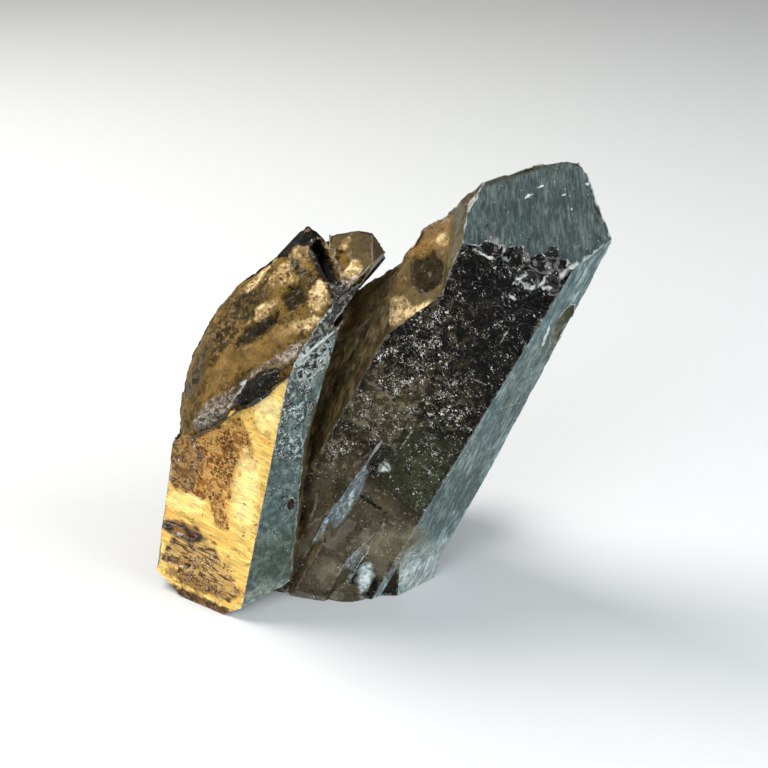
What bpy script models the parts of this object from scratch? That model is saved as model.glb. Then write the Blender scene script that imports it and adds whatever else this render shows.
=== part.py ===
"""Smoky quartz cluster: a tall leaning crystal with a flat end face, a shorter capped crystal grown
against its left side, and smaller crystals between and behind them, all one solid on a flat base.

Quartz grows as a six-sided prism. Its side faces stand every 60 degrees around the long axis (the
c-axis), and its end faces lean 38 degrees from them towards the tip. Each crystal here is a block of
stock cut by its faces, and each face is given as the real crystal has it: the bearing around the
c-axis, the pitch towards the tip, and its reach, the distance from the crystal's root point.

Lengths are in millimetres in a layout frame: X to the right, Y to the back, Z up. An empty carries
the layout to its place, with the middle of the cluster's footprint box at the world's origin.
"""

import math
from typing import NamedTuple

import bmesh
import bpy
from mathutils import Matrix, Vector

MM = 0.001
STOCK = 300.0           # side of the block that faces are cut from
END_PITCH = 38.2        # rhombohedral end faces of quartz, from the side faces

BASE = -2.2             # height of the flat base in the layout frame
MIDDLE = (-3.05, 6.48)  # middle of the cluster's footprint box in the layout frame
ROOT_DEPTH = 3.0        # crystals run on below the base before it is cut
ROOT_STEP = 0.35        # and each one by this much more than the last

WELD_DISTANCE = 0.000002    # metres: points closer than this are one point

CAP_DETAIL = 5          # subdivisions of the round forms
LUMP_DETAIL = 3
PIT_DETAIL = 3
CHIP_DETAIL = 1         # chips are left coarse, as broken quartz is angular

NODE = "quartz_cluster"
SMOKE = (0.10, 0.085, 0.065, 1.0)
GLOSS = 0.15


class Face(NamedTuple):
    """A flat face: degrees around the c-axis from the front, degrees towards the tip, millimetres."""

    bearing: float
    pitch: float
    reach: float


class Ball(NamedTuple):
    """A rounded form: its centre and half axes, turned about Y and then about Z."""

    centre: tuple
    radii: tuple
    turn_y: float
    turn_z: float


class Crystal(NamedTuple):
    """A convex form: its root point, the lean to the right and to the back, and the faces that
    cut it from a block of stock, or from a rounded one."""

    name: str
    root: tuple
    lean: float
    tilt: float
    faces: tuple
    stock: Ball = None


def ring(reach, pitch=0.0, start=0.0):
    """Six faces of one kind, every 60 degrees around the c-axis."""
    return tuple(Face(start + 60.0 * step, pitch, reach) for step in range(6))


def sound_crystal(name, root, lean, tilt, radius, height, start=0.0):
    """A small unbroken crystal: six side faces and six end faces that meet at its tip."""
    end_reach = height * math.sin(math.radians(END_PITCH))
    return Crystal(name, root, lean, tilt, ring(radius, 0.0, start) + ring(end_reach, END_PITCH, start))


# The tall crystal, and the forms that share its c-axis. The steps at its toe repeat its side faces.

TALL_STAND = ((-5.0, 0.5, 0.0), 20.8, 0.0)      # root point, lean to the right, lean to the back
TALL_FRONT = (-16.0, 2.1)                       # bearing and pitch of its side faces
TALL_RIGHT = (37.5, -3.1)
TALL_BACK = (164.0, 0.0)
TALL_LEFT = (-69.8, 6.3)
TALL_END = (-25.1, 37.7)                        # and of its wide end face
TALL_SHOULDER = (-150.0, 26.7)

TALL = Crystal(
    "tall_crystal", *TALL_STAND,
    (
        Face(*TALL_FRONT, 10.4),
        Face(*TALL_RIGHT, 11.4),
        Face(82.2, -2.8, 14.5),
        Face(104.0, 0.0, 14.0),
        Face(*TALL_BACK, 13.5),
        Face(-136.0, 0.0, 14.0),
        Face(*TALL_LEFT, 20.0),
        Face(*TALL_END, 51.3),
        Face(98.1, 37.4, 62.3),
        Face(-141.0, 47.5, 66.3),
        Face(-110.0, 47.5, 65.4),
        Face(*TALL_SHOULDER, 41.8),
    ),
)

TALL_BREAKS = (
    Crystal("shoulder_break", *TALL_STAND, (Face(99.3, 0.5, -8.0), Face(122.8, -21.1, -31.7))),
    Crystal("left_bevel", *TALL_STAND, (Face(100.0, -22.5, -37.5), Face(0.0, -90.0, -68.0))),
)

TALL_GROWTHS = (
    Crystal(
        "web", *TALL_STAND,
        (
            Face(*TALL_FRONT, 4.5),
            Face(*TALL_RIGHT, 5.0),
            Face(*TALL_END, 40.0),
            Face(-80.0, 0.0, 24.0),
            Face(-57.2, 21.1, 30.0),
            Face(*TALL_SHOULDER, 39.0),
            Face(*TALL_BACK, 9.6),
            Face(88.0, 0.0, 9.0),
        ),
    ),
    Crystal(
        "toe_step", *TALL_STAND,
        (
            Face(*TALL_FRONT, 12.6),
            Face(*TALL_RIGHT, 0.1),
            Face(*TALL_LEFT, 17.0),
            Face(*TALL_BACK, 5.0),
            Face(-45.0, 14.0, 17.6),
            Face(0.0, 90.0, 36.0),
        ),
    ),
    Crystal(
        "lower_toe_step", *TALL_STAND,
        (
            Face(*TALL_FRONT, 13.3),
            Face(*TALL_RIGHT, 6.6),
            Face(*TALL_LEFT, 14.0),
            Face(*TALL_BACK, 5.0),
            Face(-16.0, 25.0, 14.6),
            Face(0.0, 90.0, 24.0),
        ),
    ),
    Crystal(
        "foot_flare", *TALL_STAND,
        (
            Face(0.0, 0.0, 10.6),
            Face(37.5, 11.0, 13.2),
            Face(82.0, 8.0, 15.9),
            Face(*TALL_BACK, 4.0),
            Face(*TALL_LEFT, 6.0),
            Face(0.0, 90.0, 16.0),
        ),
    ),
)

# The left crystal: its prism, the shoulder on its right, and the rounded cap that overhangs it.

LEFT_STAND = ((-28.0, -4.0, 0.0), 12.2, 8.0)
LEFT_FRONT = (-32.0, 0.0)
LEFT_RIGHT = (37.0, 0.0)
LEFT_TOP = (-97.2, 40.6)
LEFT_TOE = (63.2, -49.1)

LEFT_GROWTHS = (
    Crystal(
        "left_crystal", *LEFT_STAND,
        (
            Face(*LEFT_FRONT, 11.1),
            Face(*LEFT_RIGHT, 11.4),
            Face(84.1, 5.1, 10.4),
            Face(-88.7, -2.5, 17.5),
            Face(-148.0, 0.0, 15.0),
            Face(152.0, 0.0, 14.0),
            Face(*LEFT_TOP, 30.1),
            Face(-89.7, -65.6, 9.8),
            Face(*LEFT_TOE, 5.5),
        ),
    ),
    Crystal(
        "left_shoulder", *LEFT_STAND,
        (
            Face(*LEFT_RIGHT, 11.1),
            Face(*LEFT_FRONT, 8.0),
            Face(-92.0, 0.0, 8.0),
            Face(85.6, -4.1, 4.9),
            Face(-150.0, 0.0, 13.0),
            Face(150.0, 0.0, 13.4),
            Face(*LEFT_TOP, 30.5),
            Face(*LEFT_TOE, 4.2),
        ),
    ),
    Crystal(
        "cap", *LEFT_STAND,
        (
            Face(82.8, -40.6, -28.6),
            Face(88.6, -21.7, -14.1),
            Face(*LEFT_RIGHT, 12.0),
            Face(-135.0, 0.0, 18.6),
            Face(-150.0, 20.0, 31.6),
            Face(180.0, 0.0, 10.5),
            Face(152.0, 0.0, 14.6),
            Face(160.0, 30.0, 38.6),
        ),
        Ball((-12.9, 8.1, 29.7), (27.6, 23.3, 37.2), 18.6, -3.7),
    ),
)

# Small crystals: the peak and the wedge on top of the cap, and the group behind.

SMALL_CRYSTALS = (
    Crystal(
        "peak_crystal", (-14.1, 8.6, 46.4), 0.0, 0.0,
        ring(5.3) + ring(14.2, END_PITCH) + (Face(0.0, -90.0, 8.0),),
    ),
    Crystal(
        "wedge_crystal", (0.0, 0.0, 0.0), 0.0, 0.0,
        (
            Face(-19.9, 66.9, 59.7),
            Face(71.0, 41.0, 41.0),
            Face(66.6, -37.0, -40.3),
            Face(-85.0, 0.9, 10.6),
            Face(-175.0, 31.0, 43.0),
            Face(110.0, 27.2, 32.1),
            Face(0.0, -90.0, -42.0),
            Face(0.0, 0.0, 5.0),
            Face(178.0, 0.0, 14.6),
        ),
    ),
    sound_crystal("back_crystal_right", (1.0, 8.0, -10.0), 6.0, 24.0, 7.0, 48.0, 10.0),
    sound_crystal("back_crystal_left", (-33.0, 6.0, -10.0), -4.0, 20.0, 6.5, 42.0, 25.0),
    sound_crystal("back_crystal_low", (-14.0, 9.0, -10.0), -6.0, 31.0, 6.3, 33.0, 17.0),
    sound_crystal("back_crystal_tall", (-7.0, 8.0, -10.0), 4.0, 5.0, 8.5, 62.0, 20.0),
)

# Two beads along the lip of the cap, then a lump at the foot of the tall crystal.

LUMPS = (
    Ball((-22.3, -9.9, 45.0), (5.8, 1.7, 1.7), -39.0, -7.0),
    Ball((-31.3, -6.5, 37.5), (7.4, 1.7, 1.7), -34.0, -32.0),
    Ball((-7.6, -6.6, -1.9), (6.6, 5.6, 3.6), 5.0, -6.0),
)

# Chips: six out of the edge under the wide end face, two ledges and a pit low on the left crystal.

CHIPS = (
    Ball((17.6, -7.6, 70.4), (3.6, 2.2, 1.9), 10.0, 20.0),
    Ball((22.0, -8.9, 69.2), (3.4, 2.4, 2.4), -12.0, 48.0),
    Ball((26.2, -10.0, 68.9), (3.0, 2.2, 2.0), 22.0, 5.0),
    Ball((29.6, -10.9, 69.4), (2.7, 2.4, 2.6), -25.0, 10.0),
    Ball((28.0, -11.0, 65.4), (3.8, 2.0, 1.9), 40.0, -15.0),
    Ball((23.9, -9.9, 65.2), (3.0, 1.9, 2.6), 5.0, 30.0),
    Ball((-41.0, -6.8, 10.9), (6.2, 1.5, 1.0), -4.0, -32.0),
    Ball((-39.6, -9.2, 4.9), (6.8, 1.6, 1.1), -7.0, -32.0),
    Ball((-17.4, -11.2, 19.8), (1.0, 1.3, 1.6), 0.0, 36.0),
)

# A leaf-shaped hollow on the tall crystal's right face, and the groove beside the peak crystal.

PITS = (
    Ball((32.0, -7.2, 54.7), (1.8, 1.5, 6.8), 11.5, 35.0),
    Ball((-10.6, 2.4, 63.4), (7.5, 1.5, 2.2), 17.4, -68.7),
)


def crystal_frame(crystal):
    """The rotation that stands the crystal's c-axis at its lean and tilt."""
    lean = Matrix.Rotation(math.radians(crystal.lean), 3, "Y")
    tilt = Matrix.Rotation(-math.radians(crystal.tilt), 3, "X")
    return tilt @ lean


def face_normal(face, turn):
    """The outward direction of a face in the layout frame."""
    bearing, pitch = math.radians(face.bearing), math.radians(face.pitch)
    flat = math.cos(pitch)
    return turn @ Vector((math.sin(bearing) * flat, -math.cos(bearing) * flat, math.sin(pitch)))


def cut_by(bm, point, normal):
    """Keeps the side of the plane that the normal points away from, and closes the cut."""
    geometry = bm.verts[:] + bm.edges[:] + bm.faces[:]
    bmesh.ops.bisect_plane(bm, geom=geometry, plane_co=point, plane_no=normal, clear_outer=True)
    rim = [edge for edge in bm.edges if edge.is_boundary]
    if rim:
        bmesh.ops.holes_fill(bm, edges=rim, sides=0)


def new_object(name, bm):
    """An object from a bmesh in millimetres, brought to metres."""
    bmesh.ops.recalc_face_normals(bm, faces=bm.faces[:])
    bmesh.ops.scale(bm, vec=(MM, MM, MM), verts=bm.verts[:])
    mesh = bpy.data.meshes.new(name)
    bm.to_mesh(mesh)
    bm.free()
    obj = bpy.data.objects.new(name, mesh)
    bpy.context.scene.collection.objects.link(obj)
    return obj


def stock_block():
    """The block that a crystal is cut from."""
    bm = bmesh.new()
    bmesh.ops.create_cube(bm, size=STOCK)
    return bm


def round_form(ball, detail):
    """An ellipsoid in its place."""
    bm = bmesh.new()
    bmesh.ops.create_icosphere(bm, subdivisions=detail, radius=1.0)
    place = (
        Matrix.Translation(ball.centre)
        @ Matrix.Rotation(math.radians(ball.turn_z), 4, "Z")
        @ Matrix.Rotation(math.radians(ball.turn_y), 4, "Y")
        @ Matrix.Diagonal((*ball.radii, 1.0))
    )
    bmesh.ops.transform(bm, matrix=place, verts=bm.verts[:])
    return bm


def round_objects(name, balls, detail):
    """One object for each rounded form."""
    return [new_object(f"{name}_{index}", round_form(ball, detail)) for index, ball in enumerate(balls)]


def cut_crystal(crystal, order=0):
    """The crystal's solid: its stock cut by its faces, and by a level a little below the base that
    differs from crystal to crystal, so that no two have faces in one plane there."""
    bm = round_form(crystal.stock, CAP_DETAIL) if crystal.stock else stock_block()
    turn, root = crystal_frame(crystal), Vector(crystal.root)
    for face in crystal.faces:
        normal = face_normal(face, turn)
        cut_by(bm, root + normal * face.reach, normal)
    below = BASE - ROOT_DEPTH - ROOT_STEP * order
    cut_by(bm, Vector((0.0, 0.0, below)), Vector((0.0, 0.0, -1.0)))
    return new_object(crystal.name, bm)


def below_base():
    """A block whose top is the flat base, for cutting away all that reaches below it."""
    bm = stock_block()
    bmesh.ops.translate(bm, vec=(0.0, 0.0, BASE - STOCK / 2.0), verts=bm.verts[:])
    return new_object("below_base", bm)


def group(name, tools):
    """A collection of solids that only shape the body: drawn as wires and left out of renders."""
    collection = bpy.data.collections.new(name)
    bpy.context.scene.collection.children.link(collection)
    for tool in tools:
        bpy.context.scene.collection.objects.unlink(tool)
        collection.objects.link(tool)
        tool.hide_render = True
        tool.display_type = "WIRE"
    return collection


def combine(body, name, tools, operation):
    """Joins a group of solids to the body, or cuts it out, with an exact Boolean."""
    step = body.modifiers.new(name, "BOOLEAN")
    step.operation = operation
    step.solver = "EXACT"
    step.operand_type = "COLLECTION"
    step.collection = group(name, tools)
    weld = body.modifiers.new(name + "_weld", "WELD")
    weld.merge_threshold = WELD_DISTANCE


def smoky_quartz():
    """Dark brown quartz with a glassy surface."""
    material = bpy.data.materials.new("smoky_quartz")
    material.use_nodes = True
    shader = material.node_tree.nodes["Principled BSDF"]
    shader.inputs["Base Color"].default_value = SMOKE
    shader.inputs["Roughness"].default_value = GLOSS
    shader.inputs["Metallic"].default_value = 0.0
    return material


def place_layout():
    """The empty that carries every form from the layout frame to the world."""
    layout = bpy.data.objects.new("layout", None)
    layout.location = (-MIDDLE[0] * MM, -MIDDLE[1] * MM, -BASE * MM)
    bpy.context.scene.collection.objects.link(layout)
    for obj in bpy.data.objects:
        if obj.type == "MESH":
            obj.parent = layout


def build():
    """Cuts every crystal, joins them into the tall one, then takes out the breaks and the base."""
    for obj in list(bpy.data.objects):
        bpy.data.objects.remove(obj, do_unlink=True)
    body = cut_crystal(TALL)
    body.name = NODE
    body.data.materials.append(smoky_quartz())
    grown = TALL_GROWTHS + LEFT_GROWTHS + SMALL_CRYSTALS
    crystals = [cut_crystal(crystal, order) for order, crystal in enumerate(grown, 1)]
    lumps = round_objects("lump", LUMPS, LUMP_DETAIL)
    chips = round_objects("chip", CHIPS, CHIP_DETAIL)
    pits = round_objects("pit", PITS, PIT_DETAIL)
    combine(body, "breaks", [cut_crystal(cutter) for cutter in TALL_BREAKS], "DIFFERENCE")
    combine(body, "growths", crystals + lumps, "UNION")
    combine(body, "hollows", chips + pits + [below_base()], "DIFFERENCE")
    place_layout()


build()
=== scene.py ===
"""The finish of a smoky quartz cluster: its crystal faces, their relief, one quartz material, and a studio.

The cluster is one closed solid of grown-together crystals. Its skin here is that solid refined into
small triangles and pressed in by a relief: growth ridges across each prism, ledges and shells on
broken quartz, worn edges. Every face has a finish of its own, and patches of other finishes on it.
Some finishes paint light into the colour: glints and highlights, a glow of light coming through the
stone, blue-grey reflections, and shade under the lip and on the peak. The finishes reach the one
material as attributes, with the coordinates of the crystal that each face belongs to, so that
growth lines run across the crystal and brushed lines along it.

Lengths are in millimetres unless a name says metres.
"""

from __future__ import annotations

import logging
import math
from dataclasses import astuple, dataclass
from enum import Enum, IntEnum

import bpy
import numpy as np
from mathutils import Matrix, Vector
from mathutils.geometry import delaunay_2d_cdt

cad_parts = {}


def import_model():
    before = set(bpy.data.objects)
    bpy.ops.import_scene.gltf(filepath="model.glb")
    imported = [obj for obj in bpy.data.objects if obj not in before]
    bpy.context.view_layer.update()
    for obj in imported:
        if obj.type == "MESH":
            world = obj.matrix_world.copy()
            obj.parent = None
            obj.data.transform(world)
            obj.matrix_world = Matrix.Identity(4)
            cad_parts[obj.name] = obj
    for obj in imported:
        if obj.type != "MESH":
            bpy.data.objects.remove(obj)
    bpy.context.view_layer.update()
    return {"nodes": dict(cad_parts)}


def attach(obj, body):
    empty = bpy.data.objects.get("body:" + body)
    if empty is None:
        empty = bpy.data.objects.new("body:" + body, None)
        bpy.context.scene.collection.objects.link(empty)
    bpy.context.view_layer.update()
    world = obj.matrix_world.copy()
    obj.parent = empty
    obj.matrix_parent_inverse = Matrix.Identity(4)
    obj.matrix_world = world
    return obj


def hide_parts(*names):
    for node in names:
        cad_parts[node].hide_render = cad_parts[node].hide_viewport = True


LOG = logging.getLogger("quartz_cluster")

NODE = "quartz_cluster"
SLOT = "smoky_quartz"
MM = 0.001
TINY = 1e-12
Array = np.ndarray
Point = tuple[float, float, float]


# --- turns and colours --------------------------------------------------

Colour = tuple[int, int, int]
SCREEN_WHITE = 255.0
SCREEN_OFFSET = 0.055
SCREEN_POWER = 2.4


def linear(colour: Colour) -> list[float]:
    """A screen colour's linear values: ((part of white + offset) / (1 + offset)) to the power."""
    whole = 1.0 + SCREEN_OFFSET
    return [((value / SCREEN_WHITE + SCREEN_OFFSET) / whole) ** SCREEN_POWER for value in colour]


def rotation(axis: int, degrees: float) -> Array:
    """A turn about one of the world's axes, from the next axis towards the one after it.

    Args:
        axis: 0 for the one to the right, 1 for the one to the back, 2 for the one up.
        degrees: How far it turns.

    Returns:
        The matrix, for a point as a column.
    """
    angle, first, second = math.radians(degrees), (axis + 1) % 3, (axis + 2) % 3
    matrix = np.eye(3)
    matrix[first, first] = matrix[second, second] = math.cos(angle)
    matrix[second, first] = math.sin(angle)
    matrix[first, second] = -math.sin(angle)
    return matrix


def turned(right: Array, up: Array, degrees: float) -> tuple[Array, Array]:
    """Places in a plane, measured along axes that are turned from the right towards up.

    The first is right times the cosine plus up times the sine, the second up times the cosine
    minus right times the sine.

    Args:
        right: How far to the right each place is.
        up: How far up it is.
        degrees: How far the axes are turned.

    Returns:
        How far along the two turned axes each place is.
    """
    angle = math.radians(degrees)
    along = right * math.cos(angle) + up * math.sin(angle)
    return along, up * math.cos(angle) - right * math.sin(angle)


# --- where the crystals stand --------------------------------------------------


@dataclass(frozen=True)
class Stand:
    """How a crystal stands: its root point, and its c-axis's lean to the right and to the back."""

    root: Point
    lean: float
    tilt: float

    def turn(self) -> Array:
        """The rotation from crystal coordinates (c-axis along the third) to the world."""
        return rotation(0, -self.tilt) @ rotation(1, self.lean)

    def own(self, points: Array) -> Array:
        """World points along the crystal's own axes, from its root."""
        return (points - np.array(self.root)) @ self.turn()

    def facing(self, bearing: float, pitch: float) -> Array:
        """The outward direction of a face.

        Args:
            bearing: Degrees around the c-axis from the front.
            pitch: Degrees towards the tip.

        Returns:
            The unit normal in the world.
        """
        around, up = math.radians(bearing), math.radians(pitch)
        flat = math.cos(up)
        return self.turn() @ np.array([math.sin(around) * flat, -math.cos(around) * flat, math.sin(up)])


TALL = Stand((-1.95, -5.98, 2.2), 20.8, 0.0)
LEFT = Stand((-24.95, -10.48, 2.2), 12.2, 8.0)
UPRIGHT = Stand((0.0, 0.0, 0.0), 0.0, 0.0)
GRAINS = (UPRIGHT, TALL, LEFT)


# --- finishes --------------------------------------------------


@dataclass(frozen=True)
class Finish:
    """How a stretch of quartz looks. All but the colours run from 0 to 1 or a little over.

    Attributes:
        tone: Main colour.
        stain: Colour of the ragged stains over it.
        cover: How much of it the stains cover.
        rough: Roughness of the surface.
        coat: Strength of the wet-looking gloss over it.
        sparkle: How thick the painted glints are: bright highlight specks in the colour.
        growth: Strength of the growth lines across the crystal.
        brush: Strength of the fine lines along it.
        cracks: Strength of the hair cracks.
        rim: Strength of the pale chipped edge.
        glow: Painted glow, standing in for light that comes through from behind.
        grit: How thick the small dark specks are.
        fine: 0 where the stains are broad, 1 where they are fine.
        lumpy: Strength of the small bumps.
    """

    tone: Colour
    stain: Colour
    cover: float = 0.35
    rough: float = 0.3
    coat: float = 0.2
    sparkle: float = 0.0
    growth: float = 0.0
    brush: float = 0.0
    cracks: float = 0.0
    rim: float = 0.3
    glow: float = 0.0
    grit: float = 0.0
    fine: float = 0.4
    lumpy: float = 0.4

    def channels(self) -> Array:
        """All values in one row: three of tone, three of stain, then the rest in order."""
        return np.array([*linear(self.tone), *linear(self.stain), *astuple(self)[2:]])


SMOKY = (58, 50, 34)
OLIVE_BROWN = (92, 80, 50)
FROST = (205, 214, 214)
# LEMON: the gold of light coming through the stone, painted into the colour
LEMON = (252, 226, 130)


class Look(Enum):
    """The finishes that whole faces have."""

    SMOKE = Finish(
        SMOKY, OLIVE_BROWN, 0.35, 0.25, 0.4, 0.2, growth=0.5, brush=0.1, cracks=0.3, rim=0.5, lumpy=0.3
    )
    # END, RIGHT, SLATE, STRIP, BLADE: frosted; their blue-grey is partly painted reflection of a cool sky
    END = Finish((60, 74, 74), (82, 94, 92), 0.35, 0.4, 0.1, 0.25, brush=0.9, rim=0.9, grit=0.2, fine=0.2)
    FRONT = Finish(
        (4, 4, 2), (38, 34, 21), 0.35, 0.28, 0.05, 0.7, cracks=0.7, grit=0.3, fine=0.8, lumpy=1.0
    )
    RIGHT = Finish(
        (92, 114, 115), (142, 160, 160), 0.35, 0.36, 0.2, 0.3, brush=1.0, cracks=0.3, rim=0.4, fine=0.3
    )
    GROOVE = Finish(
        (79, 67, 42), (112, 99, 69), 0.4, 0.3, 0.1, 0.1, brush=1.0, cracks=0.1, rim=0.1, glow=0.1
    )
    BAND = Finish((64, 59, 37), (90, 82, 54), 0.3, 0.25, 0.4, brush=0.5, rim=0.4, fine=0.1)
    SHOULDER = Finish(
        (138, 112, 70), OLIVE_BROWN, 0.5, 0.42,
        0.1, 0.06, brush=0.2, cracks=0.1, rim=0.5, glow=0.1, grit=0.5, lumpy=1.0,
    )
    # painted glow: the gold face's tone and glow stand in for light coming through the smoky stone
    GOLD = Finish(
        LEMON, (244, 196, 104), 0.3, 0.35, growth=1.0, cracks=0.1, rim=0.2, glow=0.7, grit=0.6, lumpy=0.3
    )
    SLATE = Finish((78, 95, 92), (106, 120, 116), 0.4, 0.32, 0.2, 0.6, brush=0.2, grit=0.8, fine=0.5)
    STRIP = Finish((50, 54, 51), (112, 114, 108), 0.33, 0.35, 0.3, 0.6, rim=0.8, grit=0.8, fine=1.0)
    CAP = Finish(
        (132, 104, 47), (66, 50, 19), 0.45, 0.48,
        0.04, 0.12, rim=0.05, glow=0.08, grit=0.8, fine=0.7, lumpy=1.0,
    )
    # painted shadow: the dark line under the cap's lip
    UNDERSIDE = Finish((30, 24, 15), (52, 44, 30), 0.4, 0.5, 0.0, 0.1, rim=0.1, fine=0.6)
    LIP = Finish((5, 4, 2), (34, 28, 18), 0.3, 0.2, 0.08, 0.4, rim=0.1, fine=0.9, lumpy=0.6)
    # dark brown glass, with painted shade on the peak's shadowed face and the groove beside it
    PEAK = Finish((9, 8, 2), (28, 24, 10), 0.35, 0.45, 0.0, rim=0.0)
    WEDGE = Finish(
        (98, 82, 50), (70, 58, 35), 0.45, 0.45, 0.1, 0.06, rim=0.1, glow=0.05, grit=0.3, fine=0.6, lumpy=0.9
    )
    TOE = Finish(
        (82, 73, 53), (56, 49, 34), 0.45, 0.24,
        0.25, 0.3, cracks=0.5, rim=0.2, glow=0.05, grit=0.5, lumpy=0.7,
    )
    BLADE = Finish(
        (104, 116, 118), (160, 172, 176), 0.35, 0.3,
        0.3, 0.6, brush=0.5, cracks=1.0, rim=0.4, glow=0.06, grit=0.5, fine=0.7,
    )
    FOOT = Finish(SMOKY, OLIVE_BROWN, 0.4, 0.6, 0.0, 0.1, cracks=0.2)
    BREAK = Finish((6, 6, 4), (40, 40, 34), 0.3, 0.1, 0.6, 0.9, fine=1.0, lumpy=1.0)
    LEAF = Finish((78, 78, 60), (104, 106, 88), 0.4, 0.3, 0.3, rim=1.0, fine=0.1)
    LEDGE = Finish((48, 38, 22), (130, 98, 54), 0.4, 0.3, 0.3, 0.3, growth=0.8, rim=0.2, fine=0.8)


ANYWHERE = (-99.0, 99.0)


@dataclass(frozen=True)
class FaceRule:
    """Names the faces that have a look: by the stand they belong to, the direction they face, and
    the range of their reach from the root.

    Attributes:
        look: The look of these faces.
        stand: The crystal that they belong to.
        bearing: Degrees around its c-axis.
        pitch: Degrees towards its tip.
        reach: Least and greatest distance of the face from the root point.
        spread: Degrees by which a face's direction may differ.
        grain: The stand whose axes its lines follow, where that is another one.
    """

    look: Look
    stand: Stand
    bearing: float
    pitch: float
    reach: tuple[float, float] = ANYWHERE
    spread: float = 1.5
    grain: Stand | None = None


@dataclass(frozen=True)
class EggRule:
    """Names the other faces whose middles are inside an upright egg shape.

    Attributes:
        look: The look of these faces.
        centre: The middle of the egg.
        radii: Its half axes along the world's axes.
    """

    look: Look
    centre: Point
    radii: Point


FACE_RULES = (
    FaceRule(Look.FOOT, UPRIGHT, 0.0, -90.0),
    FaceRule(Look.END, TALL, -25.1, 37.7, (50.5, 52.0), grain=UPRIGHT),
    FaceRule(Look.FRONT, TALL, -16.0, 2.1, (9.0, 11.0)),
    FaceRule(Look.TOE, TALL, -16.0, 2.1, (11.5, 14.0)),
    FaceRule(Look.GROOVE, TALL, -16.0, 2.1, (3.0, 6.0)),
    FaceRule(Look.RIGHT, TALL, 37.5, -3.1, (11.0, 12.0)),
    FaceRule(Look.BLADE, TALL, 37.5, -3.1, (-1.0, 9.0)),
    FaceRule(Look.RIGHT, TALL, 37.5, 11.0, (12.5, 14.0)),
    FaceRule(Look.RIGHT, TALL, 82.0, 8.0, (15.0, 17.0)),
    FaceRule(Look.FRONT, TALL, 0.0, 0.0, (10.0, 11.2)),
    FaceRule(Look.TOE, TALL, -45.0, 14.0, (17.0, 18.2)),
    FaceRule(Look.TOE, TALL, -16.0, 25.0, (14.0, 15.2)),
    FaceRule(Look.SHOULDER, TALL, -57.2, 21.1, (29.5, 32.3)),
    FaceRule(Look.BAND, TALL, -80.7, -0.5, (7.4, 8.6)),
    FaceRule(Look.GROOVE, TALL, -69.8, 6.3, (13.5, 20.6)),
    FaceRule(Look.GROOVE, TALL, 70.6, -17.6),
    FaceRule(Look.GROOVE, LEFT, 85.6, -4.1),
    FaceRule(Look.GROOVE, LEFT, 84.1, 5.1),
    FaceRule(Look.GROOVE, LEFT, 88.6, -21.7),
    FaceRule(Look.UNDERSIDE, LEFT, 82.8, -40.6),
    FaceRule(Look.SLATE, LEFT, 37.0, 0.0, (10.0, 11.7)),
    FaceRule(Look.STRIP, LEFT, 37.0, 0.0, (11.8, 12.5)),
    FaceRule(Look.SLATE, LEFT, 63.2, -49.1),
    FaceRule(Look.GOLD, LEFT, -32.0, 0.0),
    FaceRule(Look.CAP, LEFT, -97.2, 40.6),
    FaceRule(Look.CAP, LEFT, 180.0, 0.0),
    FaceRule(Look.CAP, LEFT, -135.0, 0.0),
    FaceRule(Look.CAP, LEFT, -150.0, 20.0),
    FaceRule(Look.CAP, LEFT, 160.0, 30.0),
    FaceRule(Look.WEDGE, UPRIGHT, -19.9, 66.9),
    FaceRule(Look.WEDGE, UPRIGHT, 71.0, 41.0),
    FaceRule(Look.WEDGE, UPRIGHT, -85.0, 0.9),
    FaceRule(Look.WEDGE, UPRIGHT, -175.0, 31.0),
    FaceRule(Look.WEDGE, UPRIGHT, 0.0, 0.0, (-6.0, 14.0)),
)

EGG_RULES = (
    # the peak eggs give the peak its dark look with painted shade
    EggRule(Look.PEAK, (-7.5, -5.0, 65.6), (3.2, 8.5, 4.5)),
    EggRule(Look.LIP, (-19.2, -16.4, 47.2), (7.0, 5.0, 7.0)),
    EggRule(Look.LIP, (-28.2, -13.0, 39.7), (8.0, 6.0, 7.0)),
    EggRule(Look.PEAK, (-11.0, 2.0, 66.0), (8.0, 8.0, 9.0)),
    EggRule(Look.BREAK, (27.0, -16.0, 70.5), (12.0, 6.0, 8.0)),
    EggRule(Look.LEAF, (35.0, -13.7, 56.9), (5.0, 6.0, 9.0)),
    EggRule(Look.LEDGE, (-37.5, -14.5, 10.1), (9.0, 6.0, 8.0)),
    EggRule(Look.LEDGE, (-14.3, -17.7, 22.0), (3.0, 3.0, 3.0)),
    EggRule(Look.TOE, (-4.5, -13.1, 0.3), (9.0, 8.0, 6.0)),
)


# up and out of a sheet that leans back by 28 degrees, on which the spots are laid out
SHEET_UP = np.array([0.0, 0.469, 0.883])
SHEET_OUT = np.array([0.0, -0.883, 0.469])
TOO_DEEP = 9.0


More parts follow.
